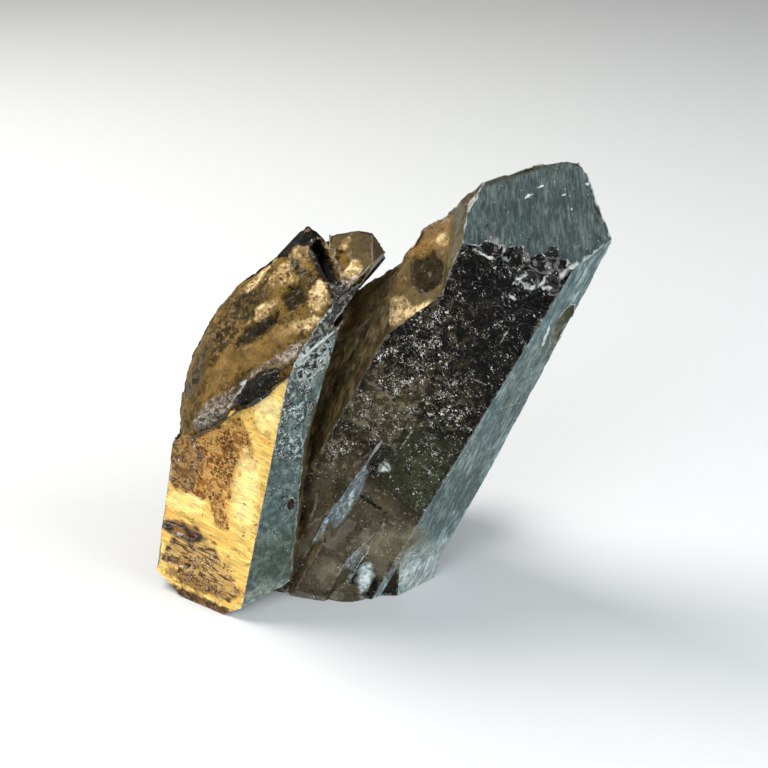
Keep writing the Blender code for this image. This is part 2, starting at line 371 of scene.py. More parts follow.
@dataclass(frozen=True)
class Spot:
    """A stretch with another finish, as an ellipse seen from the front and above, with a ragged edge.

    Attributes:
        finish: The finish inside it.
        centre: Its middle, on the surface.
        radii: Half axes, to the right and upwards before it is turned.
        turn: Degrees by which it is turned, from the right towards up.
        looks: The looks that it lies on. All, if there are none.
        ragged: How far noise moves its edge, as a part of its size.
        soft: Half the width of its edge, as a part of its size.
        depth: How far it goes to the back and to the front of its middle.
        sunk: How deep its middle is pressed in.
    """

    finish: Finish
    centre: Point
    radii: tuple[float, float]
    turn: float = 0.0
    looks: tuple[Look, ...] = ()
    ragged: float = 0.35
    soft: float = 0.12
    depth: float = 7.0
    sunk: float = 0.0

    def size(self, points: Array, grown: float = 0.0) -> Array:
        """How far out points are: the root of the sum of the squares of their distances along the
        half axes, each as a part of that half axis. Points too deep count as far out.

        Args:
            points: World points.
            grown: By how much the half axes are longer, in millimetres.

        Returns:
            0 in the middle, 1 on the edge, more outside.
        """
        away = points - np.array(self.centre)
        along, across = turned(away[:, 0], away @ SHEET_UP, self.turn)
        size = np.hypot(along / (self.radii[0] + grown), across / (self.radii[1] + grown))
        return size + TOO_DEEP * smooth_step(self.depth, self.depth + 1.0, np.abs(away @ SHEET_OUT))


BLACK_GLASS = Finish((2, 2, 1), (17, 18, 12), 0.3, 0.2, 0.05, 0.8, cracks=0.8, fine=0.8, lumpy=1.0)
GLITTER = Finish((13, 11, 6), (60, 54, 37), 0.38, 0.3, 0.02, 1.4, cracks=1.0, grit=0.9, fine=1.0, lumpy=1.0)
DUSTY = Finish((72, 65, 48), (112, 103, 82), 0.4, 0.34, 0.0, 1.1, cracks=0.6, grit=1.1, fine=1.0, lumpy=1.0)
GREEN_GLASS = Finish(
    (64, 69, 44), (28, 30, 16), 0.45, 0.2, 0.1, 0.9, cracks=1.0, grit=0.5, fine=0.9, lumpy=1.0
)
BROWN_GLASS = Finish((80, 71, 50), (54, 47, 31), 0.45, 0.22, 0.15, 0.4, cracks=0.8, glow=0.08, grit=0.4)
GREY_GLASS = Finish(
    (120, 115, 94), (84, 76, 56), 0.45, 0.24, 0.15, 0.5, cracks=0.4, glow=0.12, grit=0.3, fine=0.5
)
MILK = Finish((140, 142, 134), FROST, 0.35, 0.3, 0.3, 0.8, glow=0.08, fine=0.9, lumpy=1.0)
# painted highlights: small white glints and edge highlights
PAINTED_HIGHLIGHT = Finish((212, 218, 214), FROST, 0.4, 0.25, 0.5, 1.0, glow=0.2, fine=0.9, lumpy=1.0)
# painted highlight strokes: thin light lines
PAINTED_HIGHLIGHT_STROKE = Finish((116, 116, 104), (170, 172, 162), 0.4, 0.3, 0.2, 1.0, glow=0.05, fine=1.0)
PALE_TRIANGLE = Finish((158, 176, 178), FROST, 0.4, 0.3, 0.3, 0.6, cracks=0.8, glow=0.1, fine=0.6)
FROSTED_FOOT = Finish(
    (150, 168, 170), (190, 202, 202), 0.4, 0.3, 0.3, 0.5, growth=0.4, brush=0.8, glow=0.08, fine=0.3
)
DEEP_TEAL = Finish(
    (78, 98, 96), (112, 132, 130), 0.35, 0.3, 0.3, 0.3, growth=0.3, brush=1.0, cracks=0.3, fine=0.2
)
DARK_OLIVE = Finish((48, 38, 13), (84, 66, 29), 0.4, 0.3, 0.1, 0.05, grit=0.6, fine=0.9, lumpy=1.0)
DARK_UMBER = Finish((54, 44, 20), (34, 28, 11), 0.45, 0.34, 0.1, 0.1, grit=0.8, fine=0.9, lumpy=1.0)
BRIGHT_TAN = Finish(
    (188, 158, 108), (222, 196, 148), 0.4, 0.5, 0.0, 0.1, rim=0.1, glow=0.1, grit=0.8, fine=1.0, lumpy=1.0
)
WARM_TAN = Finish(
    (148, 122, 78), (190, 162, 112), 0.38, 0.5, 0.0, 0.1, glow=0.08, grit=0.9, fine=1.0, lumpy=1.0
)
MOTTLED = Finish((148, 118, 68), (56, 44, 22), 0.5, 0.5, 0.0, 0.1, grit=1.0, fine=1.0, lumpy=1.0)
SMOOTH_TAN = Finish(
    (140, 110, 58), (100, 77, 36), 0.4, 0.42, 0.05, 0.05, glow=0.1, grit=0.3, fine=0.5, lumpy=0.9
)
PINK_GREY = Finish((124, 108, 90), (176, 160, 144), 0.42, 0.4, 0.2, 0.9, grit=0.8, fine=1.0, lumpy=1.0)
SPECKLED = Finish((192, 202, 196), (30, 36, 32), 0.5, 0.34, 0.3, 0.9, glow=0.05, grit=1.0, fine=1.0)
BLUE_GLINTS = Finish((78, 94, 92), (166, 180, 178), 0.3, 0.28, 0.3, 1.4, grit=1.3, fine=1.0, lumpy=1.0)
SPARKLED = Finish((100, 88, 72), (160, 148, 134), 0.4, 0.3, 0.4, 1.0, grit=1.0, fine=1.0, lumpy=1.0)
DARK_SPARKLE = Finish((36, 32, 24), (112, 106, 94), 0.25, 0.3, 0.3, 1.2, grit=0.9, fine=1.0, lumpy=1.0)
DARK_EDGE = Finish((40, 40, 28), (66, 64, 46), 0.4, 0.3, 0.2, 0.2, rim=0.0, fine=0.7)
SEA = Finish((64, 78, 68), (88, 100, 90), 0.35, 0.25, 0.3, 0.15, fine=0.2)
PALE_SEA = Finish((112, 122, 114), (140, 148, 138), 0.4, 0.3, 0.2, 0.4, fine=0.5)
RUSTY = Finish(
    (238, 190, 110), (150, 102, 48), 0.45, 0.42,
    0.1, 0.4, growth=0.5, cracks=0.1, rim=0.1, glow=0.25, grit=1.3, fine=1.0, lumpy=0.9,
)
GREY_RUST = Finish(
    (190, 150, 90), (108, 80, 44), 0.45, 0.4,
    0.1, 0.9, growth=0.4, cracks=0.3, rim=0.1, glow=0.1, grit=1.2, fine=0.95, lumpy=1.0,
)
STRIPED = Finish(
    (244, 210, 132), (84, 60, 30), 0.44, 0.32,
    0.3, 0.8, growth=1.0, cracks=0.2, rim=0.1, glow=0.35, grit=1.0, fine=0.9, lumpy=1.0,
)
DARK_STRIPES = Finish(
    (58, 46, 28), (176, 132, 70), 0.4, 0.3, 0.4, 0.6, growth=1.0, grit=0.6, fine=0.9, lumpy=1.0
)
# painted glow: the brightest gold, where light comes through the stone
PAINTED_GLOW_GOLD = Finish(
    (255, 240, 170), LEMON, 0.3, 0.3, 0.3, 0.1, growth=0.8, rim=0.2, glow=1.0, grit=0.2, fine=0.2, lumpy=0.2
)
# a darker brown band along the bottom of the gold face
DARK_BOTTOM_BAND = Finish(
    (84, 64, 38), (132, 100, 56), 0.4, 0.34, 0.2, 0.4, growth=0.8, grit=0.6, fine=0.8, lumpy=1.0
)

# the faces that a spot lies on
ON_FRONT = (Look.FRONT,)
ON_EDGE = (Look.FRONT, Look.END, Look.BREAK)
ON_GOLD = (Look.GOLD, Look.LEDGE)
ON_CAP = (Look.CAP, Look.PEAK, Look.LIP)
ON_BLUE = (Look.SLATE, Look.STRIP)
ON_LIP = (Look.CAP, Look.LIP, Look.UNDERSIDE)
ON_BLADE = (Look.BLADE,)
ON_SHOULDER = (Look.SHOULDER,)
ON_WEDGE = (Look.WEDGE,)
ON_END = (Look.END,)
ON_RIGHT = (Look.RIGHT,)
ON_TOE = (Look.TOE, Look.FRONT)

SPOTS = (
    # front of the tall crystal, from its top down
    Spot(BLACK_GLASS, (27.0, -15.5, 66.5), (9.5, 4.6), -8.0, ON_FRONT, sunk=0.3),
    Spot(BLACK_GLASS, (26.0, -16.0, 57.0), (5.5, 9.0), -25.0, ON_FRONT, 0.4, 0.3),
    Spot(BLACK_GLASS, (24.9, -13.8, 70.8), (2.4, 0.9), -12.0, ON_END, 0.7),
    Spot(BLACK_GLASS, (29.3, -15.4, 70.4), (2.2, 0.8), -6.0, ON_END, 0.7),
    Spot(BLACK_GLASS, (32.1, -15.3, 71.8), (1.7, 1.7), 0.0, ON_END, 0.6),
    # painted highlights: white glints on the broken top edge of the front
    Spot(PAINTED_HIGHLIGHT, (20.6, -13.0, 71.2), (1.5, 0.25), -25.0, ON_EDGE, 0.9, 0.2),
    Spot(PAINTED_HIGHLIGHT, (26.8, -15.2, 67.6), (1.2, 0.3), 25.0, ON_EDGE, 1.2, 0.2, sunk=-0.3),
    Spot(PAINTED_HIGHLIGHT, (28.0, -15.4, 66.6), (0.9, 0.3), -30.0, ON_EDGE, 1.2, 0.2, sunk=-0.3),
    Spot(PAINTED_HIGHLIGHT, (30.6, -15.8, 67.2), (1.0, 0.3), 40.0, ON_EDGE, 1.2, 0.2, sunk=-0.3),
    Spot(PAINTED_HIGHLIGHT, (31.6, -15.9, 66.2), (0.8, 0.25), -20.0, ON_EDGE, 1.2, 0.2),
    Spot(PAINTED_HIGHLIGHT, (34.8, -16.6, 69.6), (2.0, 0.35), 38.0, ON_EDGE, 0.9, 0.2),
    Spot(PAINTED_HIGHLIGHT, (25.5, -15.2, 63.8), (0.9, 0.25), -35.0, ON_FRONT, 1.2, 0.2),
    # a painted highlight stroke
    Spot(PAINTED_HIGHLIGHT_STROKE, (24.5, -16.2, 57.0), (1.8, 0.13), 60.0, ON_FRONT, 1.6),
    Spot(GLITTER, (12.5, -12.5, 58.5), (4.2, 6.0), 25.0, ON_FRONT, 0.5, 0.4),
    Spot(GLITTER, (9.5, -13.5, 47.0), (8.5, 7.0), 20.0, ON_FRONT, 0.5, 0.4),
    Spot(GLITTER, (14.5, -15.5, 41.0), (6.5, 4.0), 0.0, ON_FRONT, 0.5, 0.4),
    Spot(DUSTY, (3.0, -12.7, 40.0), (6.5, 6.0), 40.0, ON_FRONT, 0.5, 0.4),
    Spot(DUSTY, (-6.5, -12.2, 28.5), (5.5, 4.5), 50.0, ON_FRONT, 0.4, 0.4),
    Spot(BROWN_GLASS, (-9.0, -13.0, 21.0), (3.0, 6.0), -20.0, ON_FRONT, 0.4, 0.4),
    # painted highlight strokes
    Spot(PAINTED_HIGHLIGHT_STROKE, (20.3, -16.0, 47.6), (2.8, 0.12), -25.0, ON_FRONT, 1.6),
    Spot(PAINTED_HIGHLIGHT_STROKE, (7.4, -15.2, 35.4), (2.4, 0.15), 56.0, ON_FRONT, 1.6),
    Spot(GREEN_GLASS, (10.5, -16.4, 28.5), (6.0, 7.5), 0.0, ON_FRONT, 0.4, 0.4),
    # a painted highlight stroke
    Spot(PAINTED_HIGHLIGHT_STROKE, (10.5, -16.2, 29.6), (2.0, 0.14), -43.0, ON_FRONT, 1.6),
    Spot(MILK, (3.2, -14.6, 28.4), (0.9, 0.8), 0.0, ON_FRONT, 0.8, 0.3),
    Spot(BROWN_GLASS, (1.5, -15.8, 17.5), (6.0, 6.5), 0.0, ON_FRONT, 0.4, 0.35),
    Spot(BLACK_GLASS, (0.7, -15.2, 20.5), (3.4, 0.3), -34.0, ON_FRONT, 0.8, 0.3, sunk=0.3),
    Spot(GREY_GLASS, (6.0, -16.8, 10.5), (6.5, 5.0), 0.0, (), 0.4, 0.4),
    Spot(DARK_UMBER, (4.6, -16.6, 5.0), (1.1, 2.6), 0.0, (), 0.4, 0.3),
    Spot(GREY_GLASS, (-7.0, -16.8, 5.0), (2.8, 3.2), 0.0, (), 0.4, 0.5),
    Spot(PALE_TRIANGLE, (-0.8, -16.9, 4.6), (1.3, 2.9), -16.0, (), 0.3, 0.25),
    # a painted highlight along a step of the toe
    Spot(PAINTED_HIGHLIGHT, (-1.6, -16.6, 8.2), (2.8, 0.2), 60.0, (), 0.5),
    Spot(Look.BLADE.value, (-3.6, -14.2, 21.4), (1.3, 6.2), -29.0, ON_TOE, 0.2, 0.2, 4.0),
    Spot(Look.TOE.value, (-12.3, -16.0, 7.0), (6.5, 2.6), 50.0, ON_BLADE, 0.2, 0.15),
    Spot(Look.TOE.value, (-6.0, -17.3, 2.6), (4.6, 2.8), 50.0, ON_BLADE, 0.2, 0.15),
    # its right face
    Spot(DEEP_TEAL, (30.0, -13.0, 48.0), (3.0, 11.0), -28.0, ON_RIGHT, 0.5, 0.6),
    Spot(DEEP_TEAL, (18.0, -15.0, 24.0), (4.0, 11.0), -28.0, ON_RIGHT, 0.5, 0.6),
    Spot(FROSTED_FOOT, (12.0, -14.5, 5.0), (8.0, 4.5), 20.0, ON_RIGHT, 0.4, 0.6),
    # painted highlight strokes
    Spot(PAINTED_HIGHLIGHT_STROKE, (26.5, -17.6, 43.6), (2.0, 0.12), 19.0, ON_RIGHT, 1.6),
    Spot(PAINTED_HIGHLIGHT_STROKE, (19.2, -19.6, 36.1), (1.7, 0.15), 63.0, ON_RIGHT, 1.6),
    # painted highlights
    Spot(PAINTED_HIGHLIGHT, (22.6, -20.3, 33.1), (0.4, 0.3), 0.0, ON_RIGHT, 0.9),
    Spot(PAINTED_HIGHLIGHT, (32.1, -17.8, 58.1), (2.4, 0.25), 75.0, (Look.RIGHT, Look.LEAF), 0.8),
    # the broken shoulder on its left
    Spot(DARK_UMBER, (10.4, -6.0, 65.6), (2.9, 4.1), 0.0, ON_SHOULDER, 0.25, 0.1, 7.0, 0.5),
    Spot(BRIGHT_TAN, (4.8, -8.4, 58.8), (3.0, 2.6), 30.0, ON_SHOULDER, 0.5, 0.1, sunk=-0.3),
    Spot(BRIGHT_TAN, (8.8, -11.4, 59.8), (4.4, 1.0), 26.0, ON_SHOULDER, 0.3, 0.15),
    Spot(BRIGHT_TAN, (13.2, -3.6, 70.6), (1.0, 1.1), 40.0, ON_SHOULDER, 0.4, 0.1),
    Spot(SMOOTH_TAN, (10.0, -2.5, 69.0), (3.0, 1.3), 35.0, ON_SHOULDER, 0.3, 0.2),
    Spot(Look.GROOVE.value, (2.4, -3.5, 60.0), (1.6, 6.5), -22.0, ON_SHOULDER, 0.4, 0.4),
    # the end face
    Spot(DARK_EDGE, (27.1, -3.5, 82.9), (8.5, 0.45), 17.3, ON_END, 0.5, 0.2),
    # painted glints on the end face
    Spot(PAINTED_HIGHLIGHT, (30.7, -5.7, 81.2), (0.4, 0.14), 20.0, ON_END, 0.8),
    Spot(PAINTED_HIGHLIGHT, (28.3, -6.8, 79.8), (0.5, 0.18), 35.0, ON_END, 1.0),
    Spot(PAINTED_HIGHLIGHT, (34.6, -7.2, 80.2), (0.4, 0.14), 15.0, ON_END, 0.8),
    Spot(PAINTED_HIGHLIGHT, (38.8, -6.3, 81.8), (0.3, 0.2), 0.0, ON_END, 0.8),
    Spot(DARK_EDGE, (40.2, -10.0, 78.4), (0.3, 0.9), 20.0, ON_END, 0.6),
    # the cap, from the peak down
    # painted shade: the peak's dark face and the groove beside it
    Spot(Look.PEAK.value, (-7.8, -5.0, 65.4), (1.5, 5.4), 29.0, (Look.PEAK,), 0.2, 0.2, 9.0, -0.7),
    Spot(Look.PEAK.value, (-8.2, -4.6, 66.2), (1.3, 6.2), 29.0, (), 0.2, 0.25, 9.0),
    Spot(BRIGHT_TAN, (-12.9, -1.4, 66.9), (1.7, 1.3), 30.0, ON_CAP, 0.6, 0.12, 5.0),
    Spot(WARM_TAN, (-14.5, -4.0, 65.0), (4.2, 2.0), 45.0, ON_CAP, 0.6, 0.15, 5.0),
    Spot(BRIGHT_TAN, (-21.4, -1.0, 61.7), (4.2, 0.9), 50.0, ON_CAP, 0.7, 0.15, 5.0),
    Spot(MOTTLED, (-27.0, -6.5, 52.5), (4.6, 3.0), 55.0, ON_CAP, 0.5, 0.3, 6.0),
    Spot(DARK_OLIVE, (-22.9, -6.0, 58.6), (4.0, 3.0), 10.0, ON_CAP, 0.6, 0.15, 6.0, 0.4),
    Spot(DARK_UMBER, (-20.3, -11.0, 56.4), (4.0, 1.6), 35.0, ON_CAP, 0.6, 0.2, 6.0, 0.4),
    Spot(DARK_UMBER, (-13.4, -9.3, 62.1), (2.8, 2.0), 45.0, ON_CAP, 0.6, 0.15, 6.0, 0.7),
    Spot(DARK_OLIVE, (-12.6, -4.8, 65.4), (2.6, 1.0), -50.0, ON_CAP, 0.5, 0.3, 6.0),
    Spot(BRIGHT_TAN, (-8.6, -10.8, 62.4), (2.1, 2.5), 0.0, ON_CAP, 0.5, 0.1, 6.0, -0.8),
    Spot(BRIGHT_TAN, (-10.8, -13.7, 58.4), (2.6, 1.2), 30.0, ON_CAP, 0.7, 0.15, 6.0),
    Spot(WARM_TAN, (-16.5, -13.4, 55.8), (5.0, 1.3), 30.0, ON_CAP, 0.5, 0.3, 6.0),
    Spot(SMOOTH_TAN, (-20.0, -13.4, 53.0), (7.5, 1.8), 32.0, ON_CAP, 0.35, 0.4, 6.0),
    Spot(SMOOTH_TAN, (-27.5, -11.0, 47.5), (5.5, 2.2), 50.0, ON_CAP, 0.35, 0.4, 6.0),
    Spot(DARK_OLIVE, (-33.0, -5.0, 44.0), (6.5, 1.6), 65.0, ON_CAP, 0.4, 0.5, 6.0),
    Spot(PINK_GREY, (-13.8, -16.0, 53.6), (2.8, 1.0), 40.0, ON_CAP, 0.4, 0.2, 5.0),
    Spot(PINK_GREY, (-18.8, -16.2, 51.0), (3.6, 0.5), 32.0, ON_CAP, 0.5, 0.2, 5.0),
    Spot(SPARKLED, (-28.8, -13.6, 40.2), (6.2, 2.1), 33.0, ON_LIP, 0.3, 0.2, 6.0, -0.4),
    Spot(PINK_GREY, (-20.9, -15.9, 49.4), (5.0, 0.4), 35.0, ON_LIP, 0.5, 0.3, 5.0, -0.3),
    Spot(Look.LIP.value, (-20.0, -17.2, 47.2), (5.6, 2.2), 37.0, ON_LIP, 0.12, 0.12, 6.0, -0.8),
    # a painted highlight on the dark bead
    Spot(PAINTED_HIGHLIGHT, (-23.6, -16.4, 46.6), (1.3, 0.35), 55.0, ON_LIP, 0.9, 0.2, 6.0),
    Spot(BRIGHT_TAN, (-19.2, -6.0, 57.8), (3.0, 0.8), 40.0, ON_CAP, 0.8, 0.2, 6.0),
    Spot(DARK_SPARKLE, (-4.2, -11.0, 63.2), (2.3, 2.8), 0.0, (), 0.4, 0.15, 5.0),
    Spot(PINK_GREY, (-2.9, -9.6, 65.0), (0.5, 2.2), -38.0, (), 0.5, 0.2, 5.0),
    # the wedge beside the peak
    Spot(BRIGHT_TAN, (-2.9, -6.6, 66.1), (2.0, 1.5), 30.0, ON_WEDGE, 0.3, 0.12, 6.0),
    Spot(WARM_TAN, (-4.6, -1.0, 68.0), (0.6, 3.0), -30.0, ON_WEDGE, 0.35, 0.15, 6.0),
    # the blue right face of the left crystal, and the ridge above it
    Spot(SPECKLED, (-10.8, -15.0, 50.0), (2.0, 4.0), -20.0, ON_BLUE, 0.5, 0.15),
    Spot(SPECKLED, (-7.8, -12.8, 51.8), (1.5, 2.6), -25.0, ON_BLUE, 0.6, 0.15),
    # a painted highlight along the ridge over the blue face
    Spot(PAINTED_HIGHLIGHT, (-8.6, -14.0, 54.2), (5.2, 0.22), 42.0, (), 0.5, 0.3, 4.0),
    Spot(BLUE_GLINTS, (-12.6, -16.4, 44.0), (3.2, 4.0), 0.0, ON_BLUE, 0.6, 0.4),
    Spot(BLUE_GLINTS, (-14.6, -17.8, 35.0), (3.0, 2.6), 0.0, ON_BLUE, 0.7, 0.4),
    Spot(SEA, (-18.4, -19.5, 11.0), (5.0, 5.5), 0.0, ON_BLUE, 0.4, 0.5),
    Spot(PALE_SEA, (-18.8, -20.6, 3.2), (5.5, 2.6), 15.0, ON_BLUE, 0.4, 0.5),
    # its gold front face, whose gold is a painted glow of light coming through the stone
    Spot(RUSTY, (-27.3, -14.5, 32.4), (6.6, 6.0), 0.0, ON_GOLD, 0.4, 0.05),
    Spot(RUSTY, (-29.0, -15.5, 26.8), (6.4, 3.8), 0.0, ON_GOLD, 0.5, 0.05),
    Spot(RUSTY, (-28.6, -17.3, 21.0), (1.5, 3.6), 10.0, ON_GOLD, 0.7, 0.06),
    Spot(GREY_RUST, (-36.4, -10.3, 29.5), (4.6, 7.0), 0.0, ON_GOLD, 0.4, 0.1),
    # painted glow: brighter gold; the top one also lifts the shade that the lip casts
    Spot(PAINTED_GLOW_GOLD, (-35.5, -13.0, 19.5), (4.4, 1.8), -15.0, ON_GOLD, 0.5, 0.3),
    Spot(PAINTED_GLOW_GOLD, (-23.0, -18.5, 26.0), (2.4, 7.0), -8.0, ON_GOLD, 0.5, 0.5),
    Spot(PAINTED_GLOW_GOLD, (-18.0, -16.9, 42.6), (2.6, 4.5), -8.0, ON_GOLD, 0.5, 0.6),
    Spot(DARK_STRIPES, (-35.6, -14.4, 13.6), (5.2, 1.9), -16.0, ON_GOLD, 0.4, 0.15),
    Spot(STRIPED, (-34.0, -16.0, 9.0), (6.6, 3.0), -14.0, ON_GOLD, 0.5, 0.15),
    Spot(STRIPED, (-30.0, -19.0, 5.0), (6.6, 2.4), -16.0, ON_GOLD, 0.5, 0.15),
    Spot(GREY_RUST, (-34.5, -17.0, 3.8), (6.0, 1.4), -18.0, ON_GOLD, 0.5, 0.2),
    # a darker brown band along the bottom
    Spot(DARK_BOTTOM_BAND, (-32.0, -20.0, 0.4), (9.5, 1.3), -19.0, ON_GOLD, 0.4, 0.2),
)


# --- relief --------------------------------------------------


class Noise(IntEnum):
    """Which noise each shape of the relief reads. The spots' noises are numbered on from theirs."""

    SWELL = 1
    SHELLS = 20
    GROWTH = 40
    CRUMBLE = 60
    WEAR = 80
    SPOTS = 100


# factors that stir a lattice point's numbers into one, and the sizes of a word and of half a word
STIR = np.array([73856093, 19349663, 83492791])
FIRST_STIR, SECOND_STIR = 0x9E3779B1, 0x85EBCA77
WORD, HALF_WORD = 0xFFFFFFFF, 0xFFFF


def lattice_noise(points: Array, seed: int) -> Array:
    """Smooth noise: a random value at each whole-number lattice point, blended between them.

    The blend along each axis is 3t² - 2t³, where t is the part of the step that is done.

    Args:
        points: Where it is read, one point a row.
        seed: Which noise it is.

    Returns:
        One value from 0 to 1 for each point.
    """
    base = np.floor(points).astype(np.int64)
    part = points - base
    part = part * part * (3.0 - 2.0 * part)
    total = np.zeros(len(points))
    for corner in np.ndindex(2, 2, 2):
        mixed = np.bitwise_xor.reduce((base + np.array(corner)) * STIR, axis=1) ^ seed * FIRST_STIR
        mixed = (mixed & WORD) * FIRST_STIR & WORD
        mixed = (mixed ^ mixed >> 15) * SECOND_STIR & WORD
        value = (mixed ^ mixed >> 13 & HALF_WORD) & HALF_WORD
        weight = np.prod(np.where(np.array(corner) == 1, part, 1.0 - part), axis=1)
        total += weight * value / float(HALF_WORD)
    return total


def cloud_noise(points: Array, seed: int, octaves: int = 3) -> Array:
    """Noise with finer and fainter noise on it: each octave has twice the steps and half the height.

    Args:
        points: Where it is read.
        seed: Which noise it is.
        octaves: How many are added up.

    Returns:
        One value from 0 to 1 for each point.
    """
    total, weight = np.zeros(len(points)), 0.0
    for octave in range(octaves):
        share = 0.5**octave
        total += share * lattice_noise(points * 2.0**octave, seed + octave)
        weight += share
    return total / weight


def smooth_step(low: float, high: float, values: Array) -> Array:
    """A rise from 0 at low to 1 at high, by 3t² - 2t³."""
    part = np.clip((values - low) / (high - low), 0.0, 1.0)
    return part * part * (3.0 - 2.0 * part)


@dataclass(frozen=True)
class Relief:
    """How deep each shape of the relief goes on a face, in millimetres."""

    swell: float = 0.12
    shells: float = 0.0
    growth: float = 0.0
    crumble: float = 0.05
    worn: float = 0.4


RELIEFS = {
    Look.CAP: Relief(0.2, 1.6, 0.0, 0.7, 0.3),
    Look.SHOULDER: Relief(0.2, 1.1, 0.0, 0.6, 0.5),
    Look.WEDGE: Relief(0.2, 0.5, 0.0, 0.3, 0.3),
    Look.STRIP: Relief(0.1, 0.0, 0.0, 0.5, 0.3),
    Look.LIP: Relief(0.1, 0.0, 0.0, 0.8, 0.2),
    Look.PEAK: Relief(0.05, 0.0, 0.0, 0.2, 0.0),
    Look.GOLD: Relief(0.15, 0.0, 0.16, 0.03, 0.3),
    Look.TOE: Relief(0.3, 0.4, 0.0, 0.6, 0.5),
    Look.UNDERSIDE: Relief(0.1, 0.0, 0.0, 0.3, 0.1),
    Look.RIGHT: Relief(0.12, 0.0, 0.0, 0.03, 0.12),
    Look.FRONT: Relief(0.25, 0.4, 0.0, 0.35, 0.5),
    Look.BREAK: Relief(0.0, 0.0, 0.0, 1.2, 0.5),
    Look.SLATE: Relief(0.15, 0.0, 0.0, 0.2, 0.3),
    Look.GROOVE: Relief(0.2, 0.3, 0.0, 0.2, 0.3),
}
# worn tips: where each is, how deep it is worn, and how far out; and the power of its slope
WORN_TIPS = (
    ((37.9, -2.7, 85.5), 1.6, 3.4),
    ((-11.05, 2.12, 71.56), 1.3, 2.6),
    ((0.9, 2.5, 70.4), 1.2, 2.8),
)
TIP_POWER = 1.5
# the height over which the relief starts above the flat base
BASE_FADE = 1.5
# lengths of the noises' waves; the shells' are along, across and out of their lean, in degrees
SWELL_WAVE, CRUMBLE_WAVE, WEAR_WAVE = 7.0, 2.0, 1.7
SHELL_WAVES, SHELL_LEAN = (7.0, 2.4, 5.0), 42.0
# growth steps: waves a millimetre along, through and up the left crystal, the bearing of the face
# that they show on, and how much they climb along it
GROWTH_RATES, GROWTH_BEARING, GROWTH_SLANT = (0.06, 0.02, 0.9), -32.0, 0.14
# how far from an edge wear reaches, and between which values of its noise it starts
WEAR_REACH, WEAR_START = 1.2, (0.4, 0.65)
# a face whose normal's height is below this is the base, and the Delaunay mesh's tolerance
DOWNWARD, SAME_PLACE = -0.99, 1e-7
# which of Finish.channels() each colour attribute holds, from the first up to the last
LAYERS = {"tone": (0, 3), "stain": (3, 7), "surface": (7, 11), "marks": (11, 15), "crust": (15, 18)}


